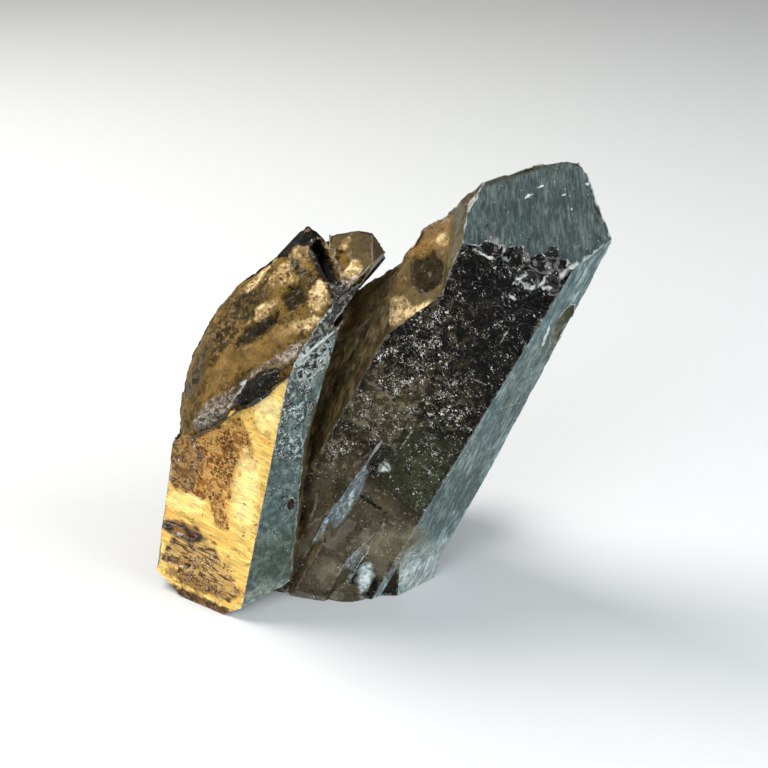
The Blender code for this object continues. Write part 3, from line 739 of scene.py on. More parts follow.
@dataclass
class Skin:
    """The cluster's surface as arrays: corners of triangles, and what each triangle belongs to.

    Attributes:
        spacing: Longest edge of a triangle on a face that shows.
        thin_spacing: Longest edge on a thin spot.
        foot_spacing: Longest edge on the flat base.
        thin: The half axis below which a spot is thin.
        thin_margin: How far round a thin spot the edges are short.
        long_side: An edge is halved from this part of a triangle's longest edge.
        clear: How far inside a triangle its border's new points stand, in steps.
        sharp: Degrees between two faces from which their edge is sharp.
        shown_sharp: Degrees from which it is shown sharp.
        rim_reach: How far from sharp edges the distance to them is kept.
        rim_passes: How many edges away that distance is looked for.
    """

    spacing: float = 0.52
    thin_spacing: float = 0.2
    foot_spacing: float = 3.0
    thin: float = 0.35
    thin_margin: float = 0.3
    long_side: float = 0.7
    clear: float = 0.55
    sharp: float = 24.0
    shown_sharp: float = 32.0
    rim_reach: float = 4.0
    rim_passes: int = 40

    def read(self, node: bpy.types.Object) -> None:
        """Takes a node's mesh, joins the triangles' shared corners and drops slivers.

        Args:
            node: The CAD node. It is only read.
        """
        mesh = node.data
        mesh.calc_loop_triangles()
        points = np.empty(len(mesh.vertices) * 3)
        mesh.vertices.foreach_get("co", points)
        corners = np.empty(len(mesh.loop_triangles) * 3, dtype=np.int32)
        mesh.loop_triangles.foreach_get("vertices", corners)
        points = points.reshape(-1, 3) / MM
        _, first, joined = np.unique(np.round(points, 3), axis=0, return_index=True, return_inverse=True)
        self.points = points[first]
        self.corners = joined.reshape(-1)[corners].reshape(-1, 3)
        first, second, third = self.corners.T
        self.corners = self.corners[(first != second) & (second != third) & (third != first)]
        normals = self.crosses()
        self.plane = normals / np.maximum(np.linalg.norm(normals, axis=1, keepdims=True), TINY)

    def crosses(self) -> Array:
        """The cross product of two sides of each triangle: twice its area, along its normal."""
        first, second, third = (self.points[self.corners[:, side]] for side in range(3))
        return np.cross(second - first, third - first)

    def edges(self) -> tuple[Array, Array]:
        """The edges of the triangles.

        Returns:
            The end points of each edge, lower index first, and for each triangle its three edges,
            of which edge k is opposite corner k.
        """
        pairs = np.stack([self.corners[:, [1, 2]], self.corners[:, [2, 0]], self.corners[:, [0, 1]]], axis=1)
        pairs = np.sort(pairs.reshape(-1, 2), axis=1).astype(np.int64)
        count = len(self.points)
        keys, which = np.unique(pairs[:, 0] * count + pairs[:, 1], return_inverse=True)
        return np.stack([keys // count, keys % count], axis=1), which.reshape(-1, 3)

    def fill(self) -> None:
        """Fills each flat triangle with small ones of nearly equal sides.

        Points stand at equal steps along each edge, the same ones for the two triangles that share
        it, and inside at the corners of a grid of equal triangles. A Delaunay mesh joins them.
        """
        ends, of_triangle = self.edges()
        foot = self.plane[:, 2] < DOWNWARD
        limit = np.full(len(ends), self.foot_spacing)
        np.minimum.at(limit, of_triangle[~foot].reshape(-1), self.spacing)
        length = np.linalg.norm(self.points[ends[:, 0]] - self.points[ends[:, 1]], axis=1)
        points, along, total = [self.points], [], len(self.points)
        for (first, last), parts in zip(ends, np.maximum(1, np.ceil(length / limit)).astype(int)):
            share = np.arange(1, parts)[:, None] / parts
            points.append(self.points[first] + (self.points[last] - self.points[first]) * share)
            along.append(np.concatenate([[first], total + np.arange(parts - 1), [last]]))
            total += parts - 1
        border = np.concatenate(points)
        corners, homes, inner = [], [], []
        for index, (triangle, sides) in enumerate(zip(self.corners, of_triangle)):
            ring = []
            for turn, start in enumerate(triangle):
                side = along[sides[(turn + 2) % 3]]
                ring.append(side[:-1] if side[0] == start else side[:0:-1])
            ring = np.concatenate(ring)
            step = self.foot_spacing if foot[index] else self.spacing
            made, added = self.fill_one(border[ring], border[triangle], self.plane[index], step)
            names = np.concatenate([ring, total + np.arange(len(added))])
            corners.append(names[made])
            homes.append(np.full(len(made), index))
            inner.append(added)
            total += len(added)
        self.points = np.concatenate([border, *inner])
        self.corners = np.concatenate(corners)
        self.home = np.concatenate(homes)

    def fill_one(self, ring: Array, triangle: Array, normal: Array, step: float) -> tuple[Array, Array]:
        """Fills one triangle. Rows of points are a step's equal-sided triangle high, every other one
        half a step over, and stay clear of the border.

        Args:
            ring: The points on its border, in order.
            triangle: Its corners.
            normal: Its direction.
            step: The side of the small triangles.

        Returns:
            The small triangles, by number in the ring followed by the new points, and the new points.
        """
        right = triangle[1] - triangle[0]
        right = right / np.linalg.norm(right)
        axes = np.stack([right, np.cross(normal, right)], axis=1)
        flat = (triangle - triangle[0]) @ axes
        low, high = flat.min(axis=0), flat.max(axis=0)
        across = np.arange(low[0], high[0] + step, step)
        upward = np.arange(low[1] + 0.5 * step, high[1], step * math.sqrt(0.75))
        grid = np.stack(np.meshgrid(across, upward), axis=-1)
        grid[1::2, :, 0] += 0.5 * step
        grid = grid.reshape(-1, 2)
        for start, end in zip(flat, np.roll(flat, -1, axis=0)):
            way = (end - start) / np.linalg.norm(end - start)
            grid = grid[(grid - start) @ np.array([-way[1], way[0]]) > self.clear * step]
        around = (ring - triangle[0]) @ axes
        count = len(ring)
        border = [(number, (number + 1) % count) for number in range(count)]
        coordinates = [Vector(place) for place in np.concatenate([around, grid])]
        _, _, faces, origins, _, _ = delaunay_2d_cdt(coordinates, border, [], 1, SAME_PLACE)
        made = [[origins[corner][0] for corner in face] for face in faces]
        return np.array(made, dtype=int).reshape(-1, 3), triangle[0] + grid @ axes.T

    def refine(self) -> None:
        """Halves the edges on thin spots until none is longer than the spacing there.

        In each pass, an edge is halved if it is too long and is not much shorter than the longest
        side of a triangle on it. A triangle with one, two or three halved edges becomes two, three
        or four, so that neighbours always meet corner to corner.
        """
        while True:
            ends, of_triangle = self.edges()
            length = np.linalg.norm(self.points[ends[:, 0]] - self.points[ends[:, 1]], axis=1)
            limit = np.full(len(ends), self.foot_spacing)
            middles = self.points[ends].mean(axis=1)
            for spot in SPOTS:
                if min(spot.radii) < self.thin:
                    limit[spot.size(middles, self.thin_margin) < 1.0] = self.thin_spacing
            longest = length[of_triangle].max(axis=1, keepdims=True)
            wanted = np.zeros(len(ends), dtype=bool)
            wanted[of_triangle[length[of_triangle] >= self.long_side * longest]] = True
            wanted &= length > limit
            if not wanted.any():
                return
            middle = np.full(len(ends), -1)
            middle[wanted] = len(self.points) + np.arange(wanted.sum())
            halves = self.points[ends[wanted]].mean(axis=1)
            self.points = np.concatenate([self.points, halves])
            self.split(middle[of_triangle])

    def split(self, middles: Array) -> None:
        """Splits each triangle at the middles of its halved edges.

        Each is turned first, so that its lone halved edge, or its lone whole one, is opposite its
        first corner. Its corners and middles are then six numbers: 0 the first corner, 1 and 2 the
        next two, 3 the middle opposite the first corner, 4 and 5 those opposite the next two.

        Args:
            middles: For each triangle, the new point on the edge opposite each corner, or -1.
        """
        patterns = {
            1: ((0, 1, 3), (0, 3, 2)),
            2: ((0, 5, 4), (5, 1, 2), (5, 2, 4)),
            3: ((0, 5, 4), (1, 3, 5), (2, 4, 3), (3, 4, 5)),
        }
        halved = middles >= 0
        count = halved.sum(axis=1)
        made, homes = [self.corners[count == 0]], [self.home[count == 0]]
        for cuts, parts in patterns.items():
            rows = np.flatnonzero(count == cuts)
            if not len(rows):
                continue
            lone = np.argmax(halved[rows] == (cuts == 1), axis=1)
            order = (lone[:, None] + np.arange(3)) % 3
            six = [np.take_along_axis(each[rows], order, axis=1) for each in (self.corners, middles)]
            six = np.hstack(six)
            made += [six[:, part] for part in parts]
            homes += [self.home[rows]] * len(parts)
        self.corners = np.concatenate(made)
        self.home = np.concatenate(homes)

    def name_faces(self) -> None:
        """Gives each flat face of the cluster its look: the first rule that fits it."""
        middles = self.points[self.corners].mean(axis=1)
        found = []
        for rule in FACE_RULES:
            facing = rule.stand.facing(rule.bearing, rule.pitch)
            reach = (middles - np.array(rule.stand.root)) @ facing
            fits = self.plane @ facing > math.cos(math.radians(rule.spread))
            fits &= (reach > rule.reach[0]) & (reach < rule.reach[1])
            found.append((fits, rule.look, rule.grain or rule.stand))
        found.append((CapEgg().holds(middles), Look.CAP, LEFT))
        for rule in EGG_RULES:
            away = (middles - np.array(rule.centre)) / np.array(rule.radii)
            found.append((np.linalg.norm(away, axis=1) < 1.0, rule.look, UPRIGHT))
        names = list(Look)
        self.look = np.full(len(middles), names.index(Look.SMOKE))
        self.grain = np.full(len(middles), GRAINS.index(TALL))
        still = np.ones(len(middles), dtype=bool)
        for fits, look, grain in found:
            fits &= still
            self.look[fits] = names.index(look)
            self.grain[fits] = GRAINS.index(grain)
            still &= ~fits

    def measure_rims(self) -> None:
        """The distance of each point from the nearest sharp outward edge.

        Each point keeps the nearest edge point that a neighbour knows, until nothing gets nearer.
        """
        ends, of_triangle = self.edges()
        triangles = np.repeat(np.arange(len(self.corners)), 3)
        order = np.argsort(of_triangle.reshape(-1), kind="stable")
        first, second = triangles[order].reshape(-1, 2).T
        plane_a, plane_b = self.plane[self.home[first]], self.plane[self.home[second]]
        bent = np.einsum("ij,ij->i", plane_a, plane_b) < math.cos(math.radians(self.sharp))
        middle_b = self.points[self.corners[second]].mean(axis=1)
        outward = np.einsum("ij,ij->i", plane_a, middle_b - self.points[ends[:, 0]]) < 0.0
        rim = ends[bent & outward].reshape(-1)
        self.rim = np.full(len(self.points), self.rim_reach)
        source = np.zeros_like(self.points)
        self.rim[rim] = 0.0
        source[rim] = self.points[rim]
        start, end = np.concatenate([ends, ends[:, ::-1]]).T
        for _ in range(self.rim_passes):
            length = np.linalg.norm(self.points[end] - source[start], axis=1)
            length[self.rim[start] >= self.rim_reach] = self.rim_reach
            best = self.rim.copy()
            np.minimum.at(best, end, length)
            nearer = (length <= best[end]) & (best[end] < self.rim[end] - 1e-6)
            if not nearer.any():
                break
            source[end[nearer]] = source[start[nearer]]
            self.rim = best

    def share(self, number: int, spot: Spot, corner: Array) -> Array:
        """How much of a spot's finish there is at some corners.

        The size is the distance from the spot's middle as a part of its half axes, moved by noise
        with waves of about half its width; the share falls from 1 to 0 as the size passes 1.

        Args:
            number: Which spot it is, for its own noise.
            spot: The spot.
            corner: The points at the corners, by number.

        Returns:
            0 to 1 for each corner.
        """
        least_wave, sway = 0.4, 2.4
        used, back = np.unique(corner, return_inverse=True)
        wave = 0.5 * min(spot.radii) + least_wave
        noise = cloud_noise(self.points[used] / wave, Noise.SPOTS + number) - 0.5
        size = spot.size(self.points[used]) + sway * spot.ragged * noise
        share = 1.0 - smooth_step(1.0 - spot.soft, 1.0 + spot.soft, size)
        return share[back.reshape(-1)]

    def dress(self) -> None:
        """The finish at each corner of each triangle: its face's, blended into the spots' there.

        The rows of Finish.channels() are kept, and how deep the spots press in. A spot is looked
        for within a few times its longer half axis of its middle.
        """
        times, margin = 2.2, 2.0
        corner = self.corners.reshape(-1)
        look = np.repeat(self.look[self.home], 3)
        names = list(Look)
        self.rows = np.array([each.value.channels() for each in Look])[look]
        self.sunk = np.zeros(len(corner))
        for number, spot in enumerate(SPOTS):
            away = np.linalg.norm(self.points - np.array(spot.centre), axis=1)
            wanted = (away < times * max(spot.radii) + margin)[corner]
            if spot.looks:
                wanted &= np.isin(look, [names.index(each) for each in spot.looks])
            place = np.flatnonzero(wanted)
            share = self.share(number, spot, corner[place])
            self.rows[place] += share[:, None] * (spot.finish.channels() - self.rows[place])
            self.sunk[place] += spot.sunk * share

    def fields(self) -> Array:
        """The shapes of the relief at each point, one a column, from 0 to about 1.

        Swell is broad noise. Shells are noise drawn out along the break, with its middle values as
        ridges. Growth is noise of the height along the left crystal. Crumble is fine noise. Wear is
        the noisy rounding of outward edges.
        """
        points = self.points
        along, across = turned(points[:, 0], points @ SHEET_UP, SHELL_LEAN)
        drawn = np.stack([along, across, points @ SHEET_OUT], axis=1) / np.array(SHELL_WAVES)
        own = LEFT.own(points)
        side, _ = turned(own[:, 0], own[:, 1], GROWTH_BEARING)
        steps = np.stack([side, own[:, 1], own[:, 2] + GROWTH_SLANT * side], axis=1) * np.array(GROWTH_RATES)
        patchy = smooth_step(*WEAR_START, cloud_noise(points / WEAR_WAVE, Noise.WEAR))
        fields = [
            cloud_noise(points / SWELL_WAVE, Noise.SWELL),
            np.abs(2.0 * cloud_noise(drawn, Noise.SHELLS, 4) - 1.0),
            cloud_noise(steps, Noise.GROWTH),
            cloud_noise(points / CRUMBLE_WAVE, Noise.CRUMBLE),
            (1.0 - smooth_step(0.0, WEAR_REACH, self.rim)) * patchy,
        ]
        return np.stack(fields, axis=1)

    def relief(self) -> Array:
        """How each point is pressed in, in millimetres: against its faces' normals, each by its
        face's strengths of the fields and as much as its area."""
        corner = self.corners.reshape(-1)
        table = np.array([astuple(RELIEFS.get(each, Relief())) for each in Look])
        strength = table[np.repeat(self.look[self.home], 3)]
        depth = np.einsum("ij,ij->i", strength, self.fields()[corner]) + self.sunk
        for tip, deepest, reach in WORN_TIPS:
            away = np.linalg.norm(self.points - np.array(tip), axis=1)
            depth += (deepest * np.clip(1.0 - away / reach, 0.0, 1.0) ** TIP_POWER)[corner]
        depth *= smooth_step(0.0, BASE_FADE, self.points[corner, 2])
        push = -depth[:, None] * np.repeat(self.plane[self.home], 3, axis=0)
        area = np.repeat(0.5 * np.linalg.norm(self.crosses(), axis=1), 3)
        count = len(self.points)
        total = np.stack([np.bincount(corner, part * area, count) for part in push.T], axis=1)
        return total / np.maximum(np.bincount(corner, area, count), TINY)[:, None]

    def build(self, node: bpy.types.Object) -> bpy.types.Object:
        """Makes the dressed cluster from the CAD node.

        Args:
            node: The CAD node. It is only read.

        Returns:
            The new object, with its attributes.
        """
        self.read(node)
        self.name_faces()
        self.fill()
        self.refine()
        self.measure_rims()
        self.dress()
        placed = self.points + self.relief()
        mesh = bpy.data.meshes.new("cluster_skin")
        mesh.from_pydata((placed * MM).tolist(), [], self.corners.tolist())
        mesh.update()
        for name, (first, last) in LAYERS.items():
            values = np.ones((len(self.rows), 4))
            values[:, : last - first] = self.rows[:, first:last]
            self.store(mesh, name, "FLOAT_COLOR", "color", values)
        self.store(mesh, "grain", "FLOAT_VECTOR", "vector", self.grain_places())
        self.store(mesh, "rim", "FLOAT", "value", self.rim[self.corners.reshape(-1)])
        mesh.shade_smooth()
        mesh.set_sharp_from_angle(angle=math.radians(self.shown_sharp))
        piece = bpy.data.objects.new("cluster_skin", mesh)
        bpy.context.scene.collection.objects.link(piece)
        return piece

    def grain_places(self) -> Array:
        """Each corner's place along the axes of the crystal that its face belongs to."""
        places = self.points[self.corners.reshape(-1)]
        which = np.repeat(self.grain[self.home], 3)
        result = np.empty_like(places)
        for index, stand in enumerate(GRAINS):
            mine = which == index
            result[mine] = stand.own(places[mine])
        return result

    @staticmethod
    def store(mesh: bpy.types.Mesh, name: str, kind: str, field: str, values: Array) -> None:
        """Writes an attribute of one row for each corner: its name, its type and that type's field."""
        attribute = mesh.attributes.new(name, kind, "CORNER")
        attribute.data.foreach_set(field, np.ascontiguousarray(values, dtype=np.float32).reshape(-1))


@dataclass(frozen=True)
class CapEgg:
    """The rounded broken cap between the left crystal and the peak, as a part of an egg: its middle,
    half axes, lean to the right, turn seen from above, and the least and greatest size of points on it."""

    centre: Point = (-9.85, 1.62, 31.9)
    radii: Point = (27.6, 23.3, 37.2)
    turn_y: float = 18.6
    turn_z: float = -3.7
    shell: tuple[float, float] = (0.93, 1.03)

    def holds(self, points: Array) -> Array:
        """Which of some world points lie on the egg's surface.

        Args:
            points: World points.

        Returns:
            True for each point on it.
        """
        own = (points - np.array(self.centre)) @ (rotation(2, self.turn_z) @ rotation(1, self.turn_y))
        size = np.linalg.norm(own / np.array(self.radii), axis=1)
        return (size > self.shell[0]) & (size < self.shell[1])


# --- material --------------------------------------------------

Socket = bpy.types.NodeSocket
Value = float | tuple | Socket
Shade = tuple[float, float, float, float]
Names = tuple[str, ...]


class Cloud(Enum):
    """The noises of the material: waves a millimetre, how many finer ones, their strength, their bend."""

    BROAD_STAINS = (0.2, 7.0, 0.62, 0.7)
    FINE_STAINS = (0.85, 5.0, 0.62, 0.5)
    GROWTH_LINES = (1.0, 6.0, 0.7, 0.0)
    BRUSH_LINES = (1.0, 5.0, 0.66, 0.0)
    CLUMPS = (0.4, 3.0, 0.55, 0.0)
    GLINTS = (2.6, 2.0, 0.6, 1.2)
    GRIT = (1.9, 3.0, 0.6, 0.6)
    LONG_CRACKS = (0.32, 2.0, 0.5, 1.6)
    SHORT_CRACKS = (0.8, 2.0, 0.5, 1.2)
    CRACKED_PARTS = (0.45, 2.0, 0.55, 0.0)
    CHIP_WIDTH = (0.8, 5.0, 0.7, 0.6)
    BUMPS = (1.0, 6.0, 0.65, 0.4)


@dataclass
class Wiring:
    """Adds nodes to one tree and wires them.

    Attributes:
        tree: The tree.
        end: The node whose inputs are what the tree puts out, in a group.
    """

    tree: bpy.types.NodeTree
    end: bpy.types.Node | None = None

    def node(self, kind: str, inputs: dict[str, Value] | None = None, **settings: object) -> bpy.types.Node:
        """Adds a node.

        Args:
            kind: Its type in Blender.
            inputs: Values or outputs for its inputs, by name or number.
            settings: Its other properties.

        Returns:
            The node.
        """
        made = self.tree.nodes.new(kind)
        for name, value in settings.items():
            setattr(made, name, value)
        for name, value in (inputs or {}).items():
            self.feed(made.inputs[name], value)
        return made

    def feed(self, socket: Socket, value: Value) -> None:
        """Links an output to an input, or sets the input's own value.

        Args:
            socket: The input.
            value: The output, or the value.
        """
        if isinstance(value, bpy.types.NodeSocket):
            self.tree.links.new(value, socket)
        else:
            socket.default_value = value

    def put(self, name: str, value: Value) -> None:
        """Gives the group's output of a name its value."""
        self.feed(self.end.inputs[name], value)

    def use(self, group: bpy.types.NodeTree, inputs: dict[str, Value]) -> dict[str, Socket]:
        """Places a node group, and returns its outputs by name."""
        return self.node("ShaderNodeGroup", inputs, node_tree=group).outputs

    def math(self, operation: str, *values: Value) -> Socket:
        """One step of arithmetic."""
        return self.node("ShaderNodeMath", dict(enumerate(values)), operation=operation).outputs[0]

    def times(self, first: Value, second: Value) -> Socket:
        """The first value times the second."""
        return self.math("MULTIPLY", first, second)

    def less(self, first: Value, second: Value) -> Socket:
        """The first value less the second."""
        return self.math("SUBTRACT", first, second)

    def scaled(self, value: Value, factor: Value, more: Value) -> Socket:
        """The value times the factor, and more."""
        return self.math("MULTIPLY_ADD", value, factor, more)

    def ramp(self, value: Value, low: Value, high: Value, first: Value = 0.0, last: Value = 1.0) -> Socket:
        """A smooth rise from first to last, as value goes from low to high."""
        feeds = {"Value": value, "From Min": low, "From Max": high, "To Min": first, "To Max": last}
        return self.node("ShaderNodeMapRange", feeds, interpolation_type="SMOOTHSTEP").outputs["Result"]

    def mix(self, share: Value, first: Value, second: Value, blend: str = "MIX") -> Socket:
        """The second colour laid on the first, with a share of 0 to 1."""
        feeds = {0: share, 6: first, 7: second}
        return self.node("ShaderNodeMix", data_type="RGBA", blend_type=blend, inputs=feeds).outputs[2]

    def tint(self, colour: Value, second: Value) -> Socket:
        """Two colours multiplied."""
        return self.mix(1.0, colour, second, "MULTIPLY")

    def grey(self, value: Socket) -> Socket:
        """A value as a grey colour."""
        return self.node("ShaderNodeCombineColor", {0: value, 1: value, 2: value}).outputs[0]

    def stretch(self, vector: Value, scale: Point = (1.0, 1.0, 1.0), shift: float = 0.0) -> Socket:
        """A vector multiplied along each axis, and moved to another part of the pattern."""
        feeds = {0: vector, 1: scale, 2: (shift, shift * 0.7, shift * 1.3)}
        return self.node("ShaderNodeVectorMath", feeds, operation="MULTIPLY_ADD").outputs[0]

    def noise(self, vector: Value, cloud: Cloud) -> Socket:
        """One of the clouds, from 0 to 1, read at a vector."""
        feeds = zip(("Scale", "Detail", "Roughness", "Distortion"), cloud.value)
        return self.node("ShaderNodeTexNoise", {"Vector": vector, **dict(feeds)}).outputs[0]


def new_group(name: str, inputs: Names, outputs: Names) -> tuple[Wiring, dict[str, Socket]]:
    """Starts a node group that reads a place.

    Args:
        name: Its name.
        inputs: Its inputs after Place, all plain values.
        outputs: Its outputs, all plain values.

    Returns:
        The wiring of its tree, and its inputs' sockets inside by name.
    """
    tree = bpy.data.node_groups.new(name, "ShaderNodeTree")
    tree.interface.new_socket(name="Place", in_out="INPUT", socket_type="NodeSocketVector")
    for way, titles in (("INPUT", inputs), ("OUTPUT", outputs)):
        for title in titles:
            tree.interface.new_socket(name=title, in_out=way, socket_type="NodeSocketFloat")
    start = tree.nodes.new("NodeGroupInput")
    return Wiring(tree, tree.nodes.new("NodeGroupOutput")), start.outputs


@dataclass(frozen=True)
class QuartzMaterial:
    """Smoky quartz: clear stone with stains, growth lines, specks, cracks and chipped edges,
    with painted glints and a painted glow.

    Attributes:
        clearness: How much light goes into the stone instead of off its surface stains.
        index: The refractive index of quartz.
        smoke: The colour that deep stone lets through.
        smoke_density: How fast it takes the light away, per metre.
        shine: How strong reflections are under the coat, where 0.5 is plain.
        gloss: Roughness of the wet-looking coat.
        between: What the low parts between growth lines multiply the colour by.
        gritty: What the dark specks multiply the colour by.
        chipped: The colour that chipped edges are half mixed with.
        cracked: The colour that cracks are mixed with.
        glint: The colour of the painted glints, bright highlight specks.
        glint_glow: How the painted glints shine of their own.
        glow: Strength of the painted glow, for light from behind, where a finish has all of it.
        bump_depth: How deep a height of 1 is, in metres.
    """

    clearness: float = 0.12
    index: float = 1.544
    smoke: Shade = (0.62, 0.47, 0.27, 1.0)
    smoke_density: float = 60.0
    shine: float = 0.03
    gloss: float = 0.08
    between: Shade = (0.78, 0.55, 0.34, 1.0)
    gritty: Shade = (0.22, 0.19, 0.15, 1.0)
    chipped: Shade = (0.8, 0.83, 0.82, 1.0)
    cracked: Shade = (0.75, 0.74, 0.7, 1.0)
    glint: Shade = (0.8, 0.77, 0.73, 1.0)
    glint_glow: Shade = (0.18, 0.175, 0.17, 1.0)
    glow: float = 0.3
    bump_depth: float = 0.00025

    def stain_group(self) -> bpy.types.NodeTree:
        """Ragged stains: broad or fine noise, cut off at a height that gives the wanted cover.

        The fine noise's share runs from 0.15 to 0.85. The cut is 0.64 less 0.3 of the cover, and half
        as wide as 0.12, less 0.09 where the stains are fine. The shade is 1 and up to 0.38 off.
        """
        net, at = new_group("quartz stains", ("Cover", "Fine", "Growth", "Brush"), ("Stain", "Shade"))
        drawn = net.mix(at["Growth"], at["Place"], net.stretch(at["Place"], (0.3, 0.3, 1.6)))
        drawn = net.mix(at["Brush"], drawn, net.stretch(at["Place"], (2.0, 0.5, 0.5)))
        broad = net.noise(drawn, Cloud.BROAD_STAINS)
        fine = net.noise(drawn, Cloud.FINE_STAINS)
        both = net.scaled(net.less(fine, broad), net.scaled(at["Fine"], 0.7, 0.15), broad)
        above = net.less(both, net.scaled(at["Cover"], -0.3, 0.64))
        half = net.scaled(at["Fine"], -0.09, 0.12)
        net.put("Stain", net.ramp(above, net.times(half, -1.0), half))
        net.put("Shade", net.ramp(fine, 0.3, 0.7, 0.62, 1.38))
        return net.tree

    def line_group(self) -> bpy.types.NodeTree:
        """Growth lines across the crystal and brushed lines along it, each as a height from 0 to 1:
        noises drawn out across the crystal's axis and along it."""
        net, at = new_group("quartz lines", (), ("Growth", "Brush"))
        growth = net.noise(net.stretch(at["Place"], (0.09, 0.09, 2.6)), Cloud.GROWTH_LINES)
        brush = net.noise(net.stretch(at["Place"], (3.6, 0.4, 0.34)), Cloud.BRUSH_LINES)
        net.put("Growth", net.ramp(growth, 0.3, 0.7))
        net.put("Brush", net.ramp(brush, 0.3, 0.7))
        return net.tree

    def speck_group(self) -> bpy.types.NodeTree:
        """Painted glints, bright highlight specks, and dark grit: the peaks of two fine noises,
        thick where a broad one is high.

        Each is cut off at a height that falls with its amount, and fades in up to an amount of 0.12.
        Its row has its shift, that fall, the cut where there is none of it, and its edge's width.
        """
        net, at = new_group("quartz specks", ("Glint", "Grit"), ("Glint", "Grit"))
        clumps = net.ramp(net.noise(at["Place"], Cloud.CLUMPS), 0.38, 0.62, 0.0, 0.12)
        kinds = {
            "Glint": (Cloud.GLINTS, 31.0, -0.1, 0.82, 0.035),
            "Grit": (Cloud.GRIT, 77.0, -0.14, 0.78, 0.05),
        }
        for name, (cloud, shift, fall, top, edge) in kinds.items():
            peaks = net.noise(net.stretch(at["Place"], shift=shift), cloud)
            cut = net.less(net.scaled(at[name], fall, top), clumps)
            shown = net.ramp(at[name], 0.0, 0.12)
            net.put(name, net.times(net.ramp(net.less(peaks, cut), 0.0, edge), shown))
        return net.tree

    def crack_group(self) -> bpy.types.NodeTree:
        """Hair cracks: where bent noise passes its middle value, long ones where a broad noise is high
        and short ones where it is low. Each kind has its shift, its width and where it starts."""
        net, at = new_group("quartz cracks", ("Amount",), ("Crack",))
        parts = net.noise(at["Place"], Cloud.CRACKED_PARTS)
        kinds = (
            (Cloud.LONG_CRACKS, 0.0, (0.008, 0.002), (0.5, 0.6)),
            (Cloud.SHORT_CRACKS, 55.0, (0.016, 0.004), (0.46, 0.36)),
        )
        cracks = []
        for cloud, shift, width, where in kinds:
            bent = net.noise(net.stretch(at["Place"], shift=shift), cloud)
            line = net.ramp(net.math("ABSOLUTE", net.less(bent, 0.5)), *width)
            cracks.append(net.times(line, net.ramp(parts, *where)))
        net.put("Crack", net.times(net.math("MAXIMUM", *cracks), at["Amount"]))
        return net.tree

    def rim_group(self) -> bpy.types.NodeTree:
        """The pale chipped edge: where the distance from the edge is under a noisy 0.08 to 1 mm."""
        net, at = new_group("quartz rim", ("Distance", "Amount"), ("Chip",))
        width = net.ramp(net.noise(at["Place"], Cloud.CHIP_WIDTH), 0.42, 0.7, 0.08, 1.0)
        shown = net.ramp(at["Distance"], width, net.times(width, 0.5))
        net.put("Chip", net.times(shown, at["Amount"]))
        return net.tree

    def build(self) -> bpy.types.Material:
        """Makes the material.

        Returns:
            The material, with every effect wired to its shader.
        """
        material = bpy.data.materials.new(SLOT)
        material.use_nodes = True
        material.node_tree.nodes.clear()
        net = Wiring(material.node_tree)
        names = (*LAYERS, "grain", "rim")
        read = {name: net.node("ShaderNodeAttribute", attribute_name=name).outputs for name in names}
        parts = {
            name: net.node("ShaderNodeSeparateColor", {0: read[name]["Color"]}).outputs
            for name in ("surface", "marks", "crust")
        }
        place = read["grain"]["Vector"]
        rough, coat, sparkle = parts["surface"]
        brush, cracks, rim = parts["marks"]
        grit, fine, lumpy = parts["crust"]
        growth, glow = read["surface"]["Alpha"], read["marks"]["Alpha"]

        feeds = {"Place": place, "Cover": read["stain"]["Alpha"], "Fine": fine}
        stains = net.use(self.stain_group(), feeds | {"Growth": growth, "Brush": brush})
        lines = net.use(self.line_group(), {"Place": place})
        specks = net.use(self.speck_group(), {"Place": place, "Glint": sparkle, "Grit": grit})
        crack = net.use(self.crack_group(), {"Place": place, "Amount": cracks})["Crack"]
        feeds = {"Place": place, "Distance": read["rim"]["Fac"], "Amount": rim}
        chip = net.use(self.rim_group(), feeds)["Chip"]

        colour = net.mix(stains["Stain"], read["tone"]["Color"], read["stain"]["Color"])
        low = net.times(net.less(1.0, lines["Growth"]), growth)
        colour = net.mix(low, colour, net.tint(colour, self.between))
        brushed = net.math("ADD", net.times(net.less(lines["Brush"], 0.5), brush), 1.0)
        colour = net.tint(colour, net.grey(net.times(brushed, stains["Shade"])))
        colour = net.mix(specks["Grit"], colour, net.tint(colour, self.gritty))
        colour = net.mix(chip, colour, net.mix(0.5, colour, self.chipped))
        colour = net.mix(crack, colour, net.mix(0.4, colour, self.cracked))
        # painted glints: bright highlight specks laid into the colour
        colour = net.mix(specks["Glint"], colour, self.glint)

        height = net.times(lines["Growth"], growth)
        height = net.scaled(net.times(lines["Brush"], brush), 0.6, height)
        bumps = net.times(net.noise(place, Cloud.BUMPS), lumpy)
        for part, rise in ((bumps, 4.5), (chip, -0.7), (crack, -0.6), (specks["Grit"], -0.8)):
            height = net.scaled(part, rise, height)
        bump = net.node("ShaderNodeBump", {"Height": height, "Distance": self.bump_depth, "Strength": 0.9})

        # painted glow: emission that stands in for light coming through from behind, and the glints' shine
        glowing = net.tint(colour, net.grey(net.times(glow, self.glow)))
        feeds = {
            "Base Color": colour,
            "Roughness": net.scaled(chip, 0.2, rough),
            "Coat Weight": coat,
            "Normal": bump.outputs["Normal"],
            "Emission Color": net.mix(specks["Glint"], glowing, self.glint_glow),
            "Emission Strength": 1.0,
            "Transmission Weight": self.clearness,
            "IOR": self.index,
            "Specular IOR Level": self.shine,
            "Coat Roughness": self.gloss,
        }
        shader = net.node("ShaderNodeBsdfPrincipled", feeds)
        volume = net.node("ShaderNodeVolumeAbsorption", {"Color": self.smoke, "Density": self.smoke_density})
        net.node("ShaderNodeOutputMaterial", {"Surface": shader.outputs[0], "Volume": volume.outputs[0]})
        return material


# --- studio --------------------------------------------------


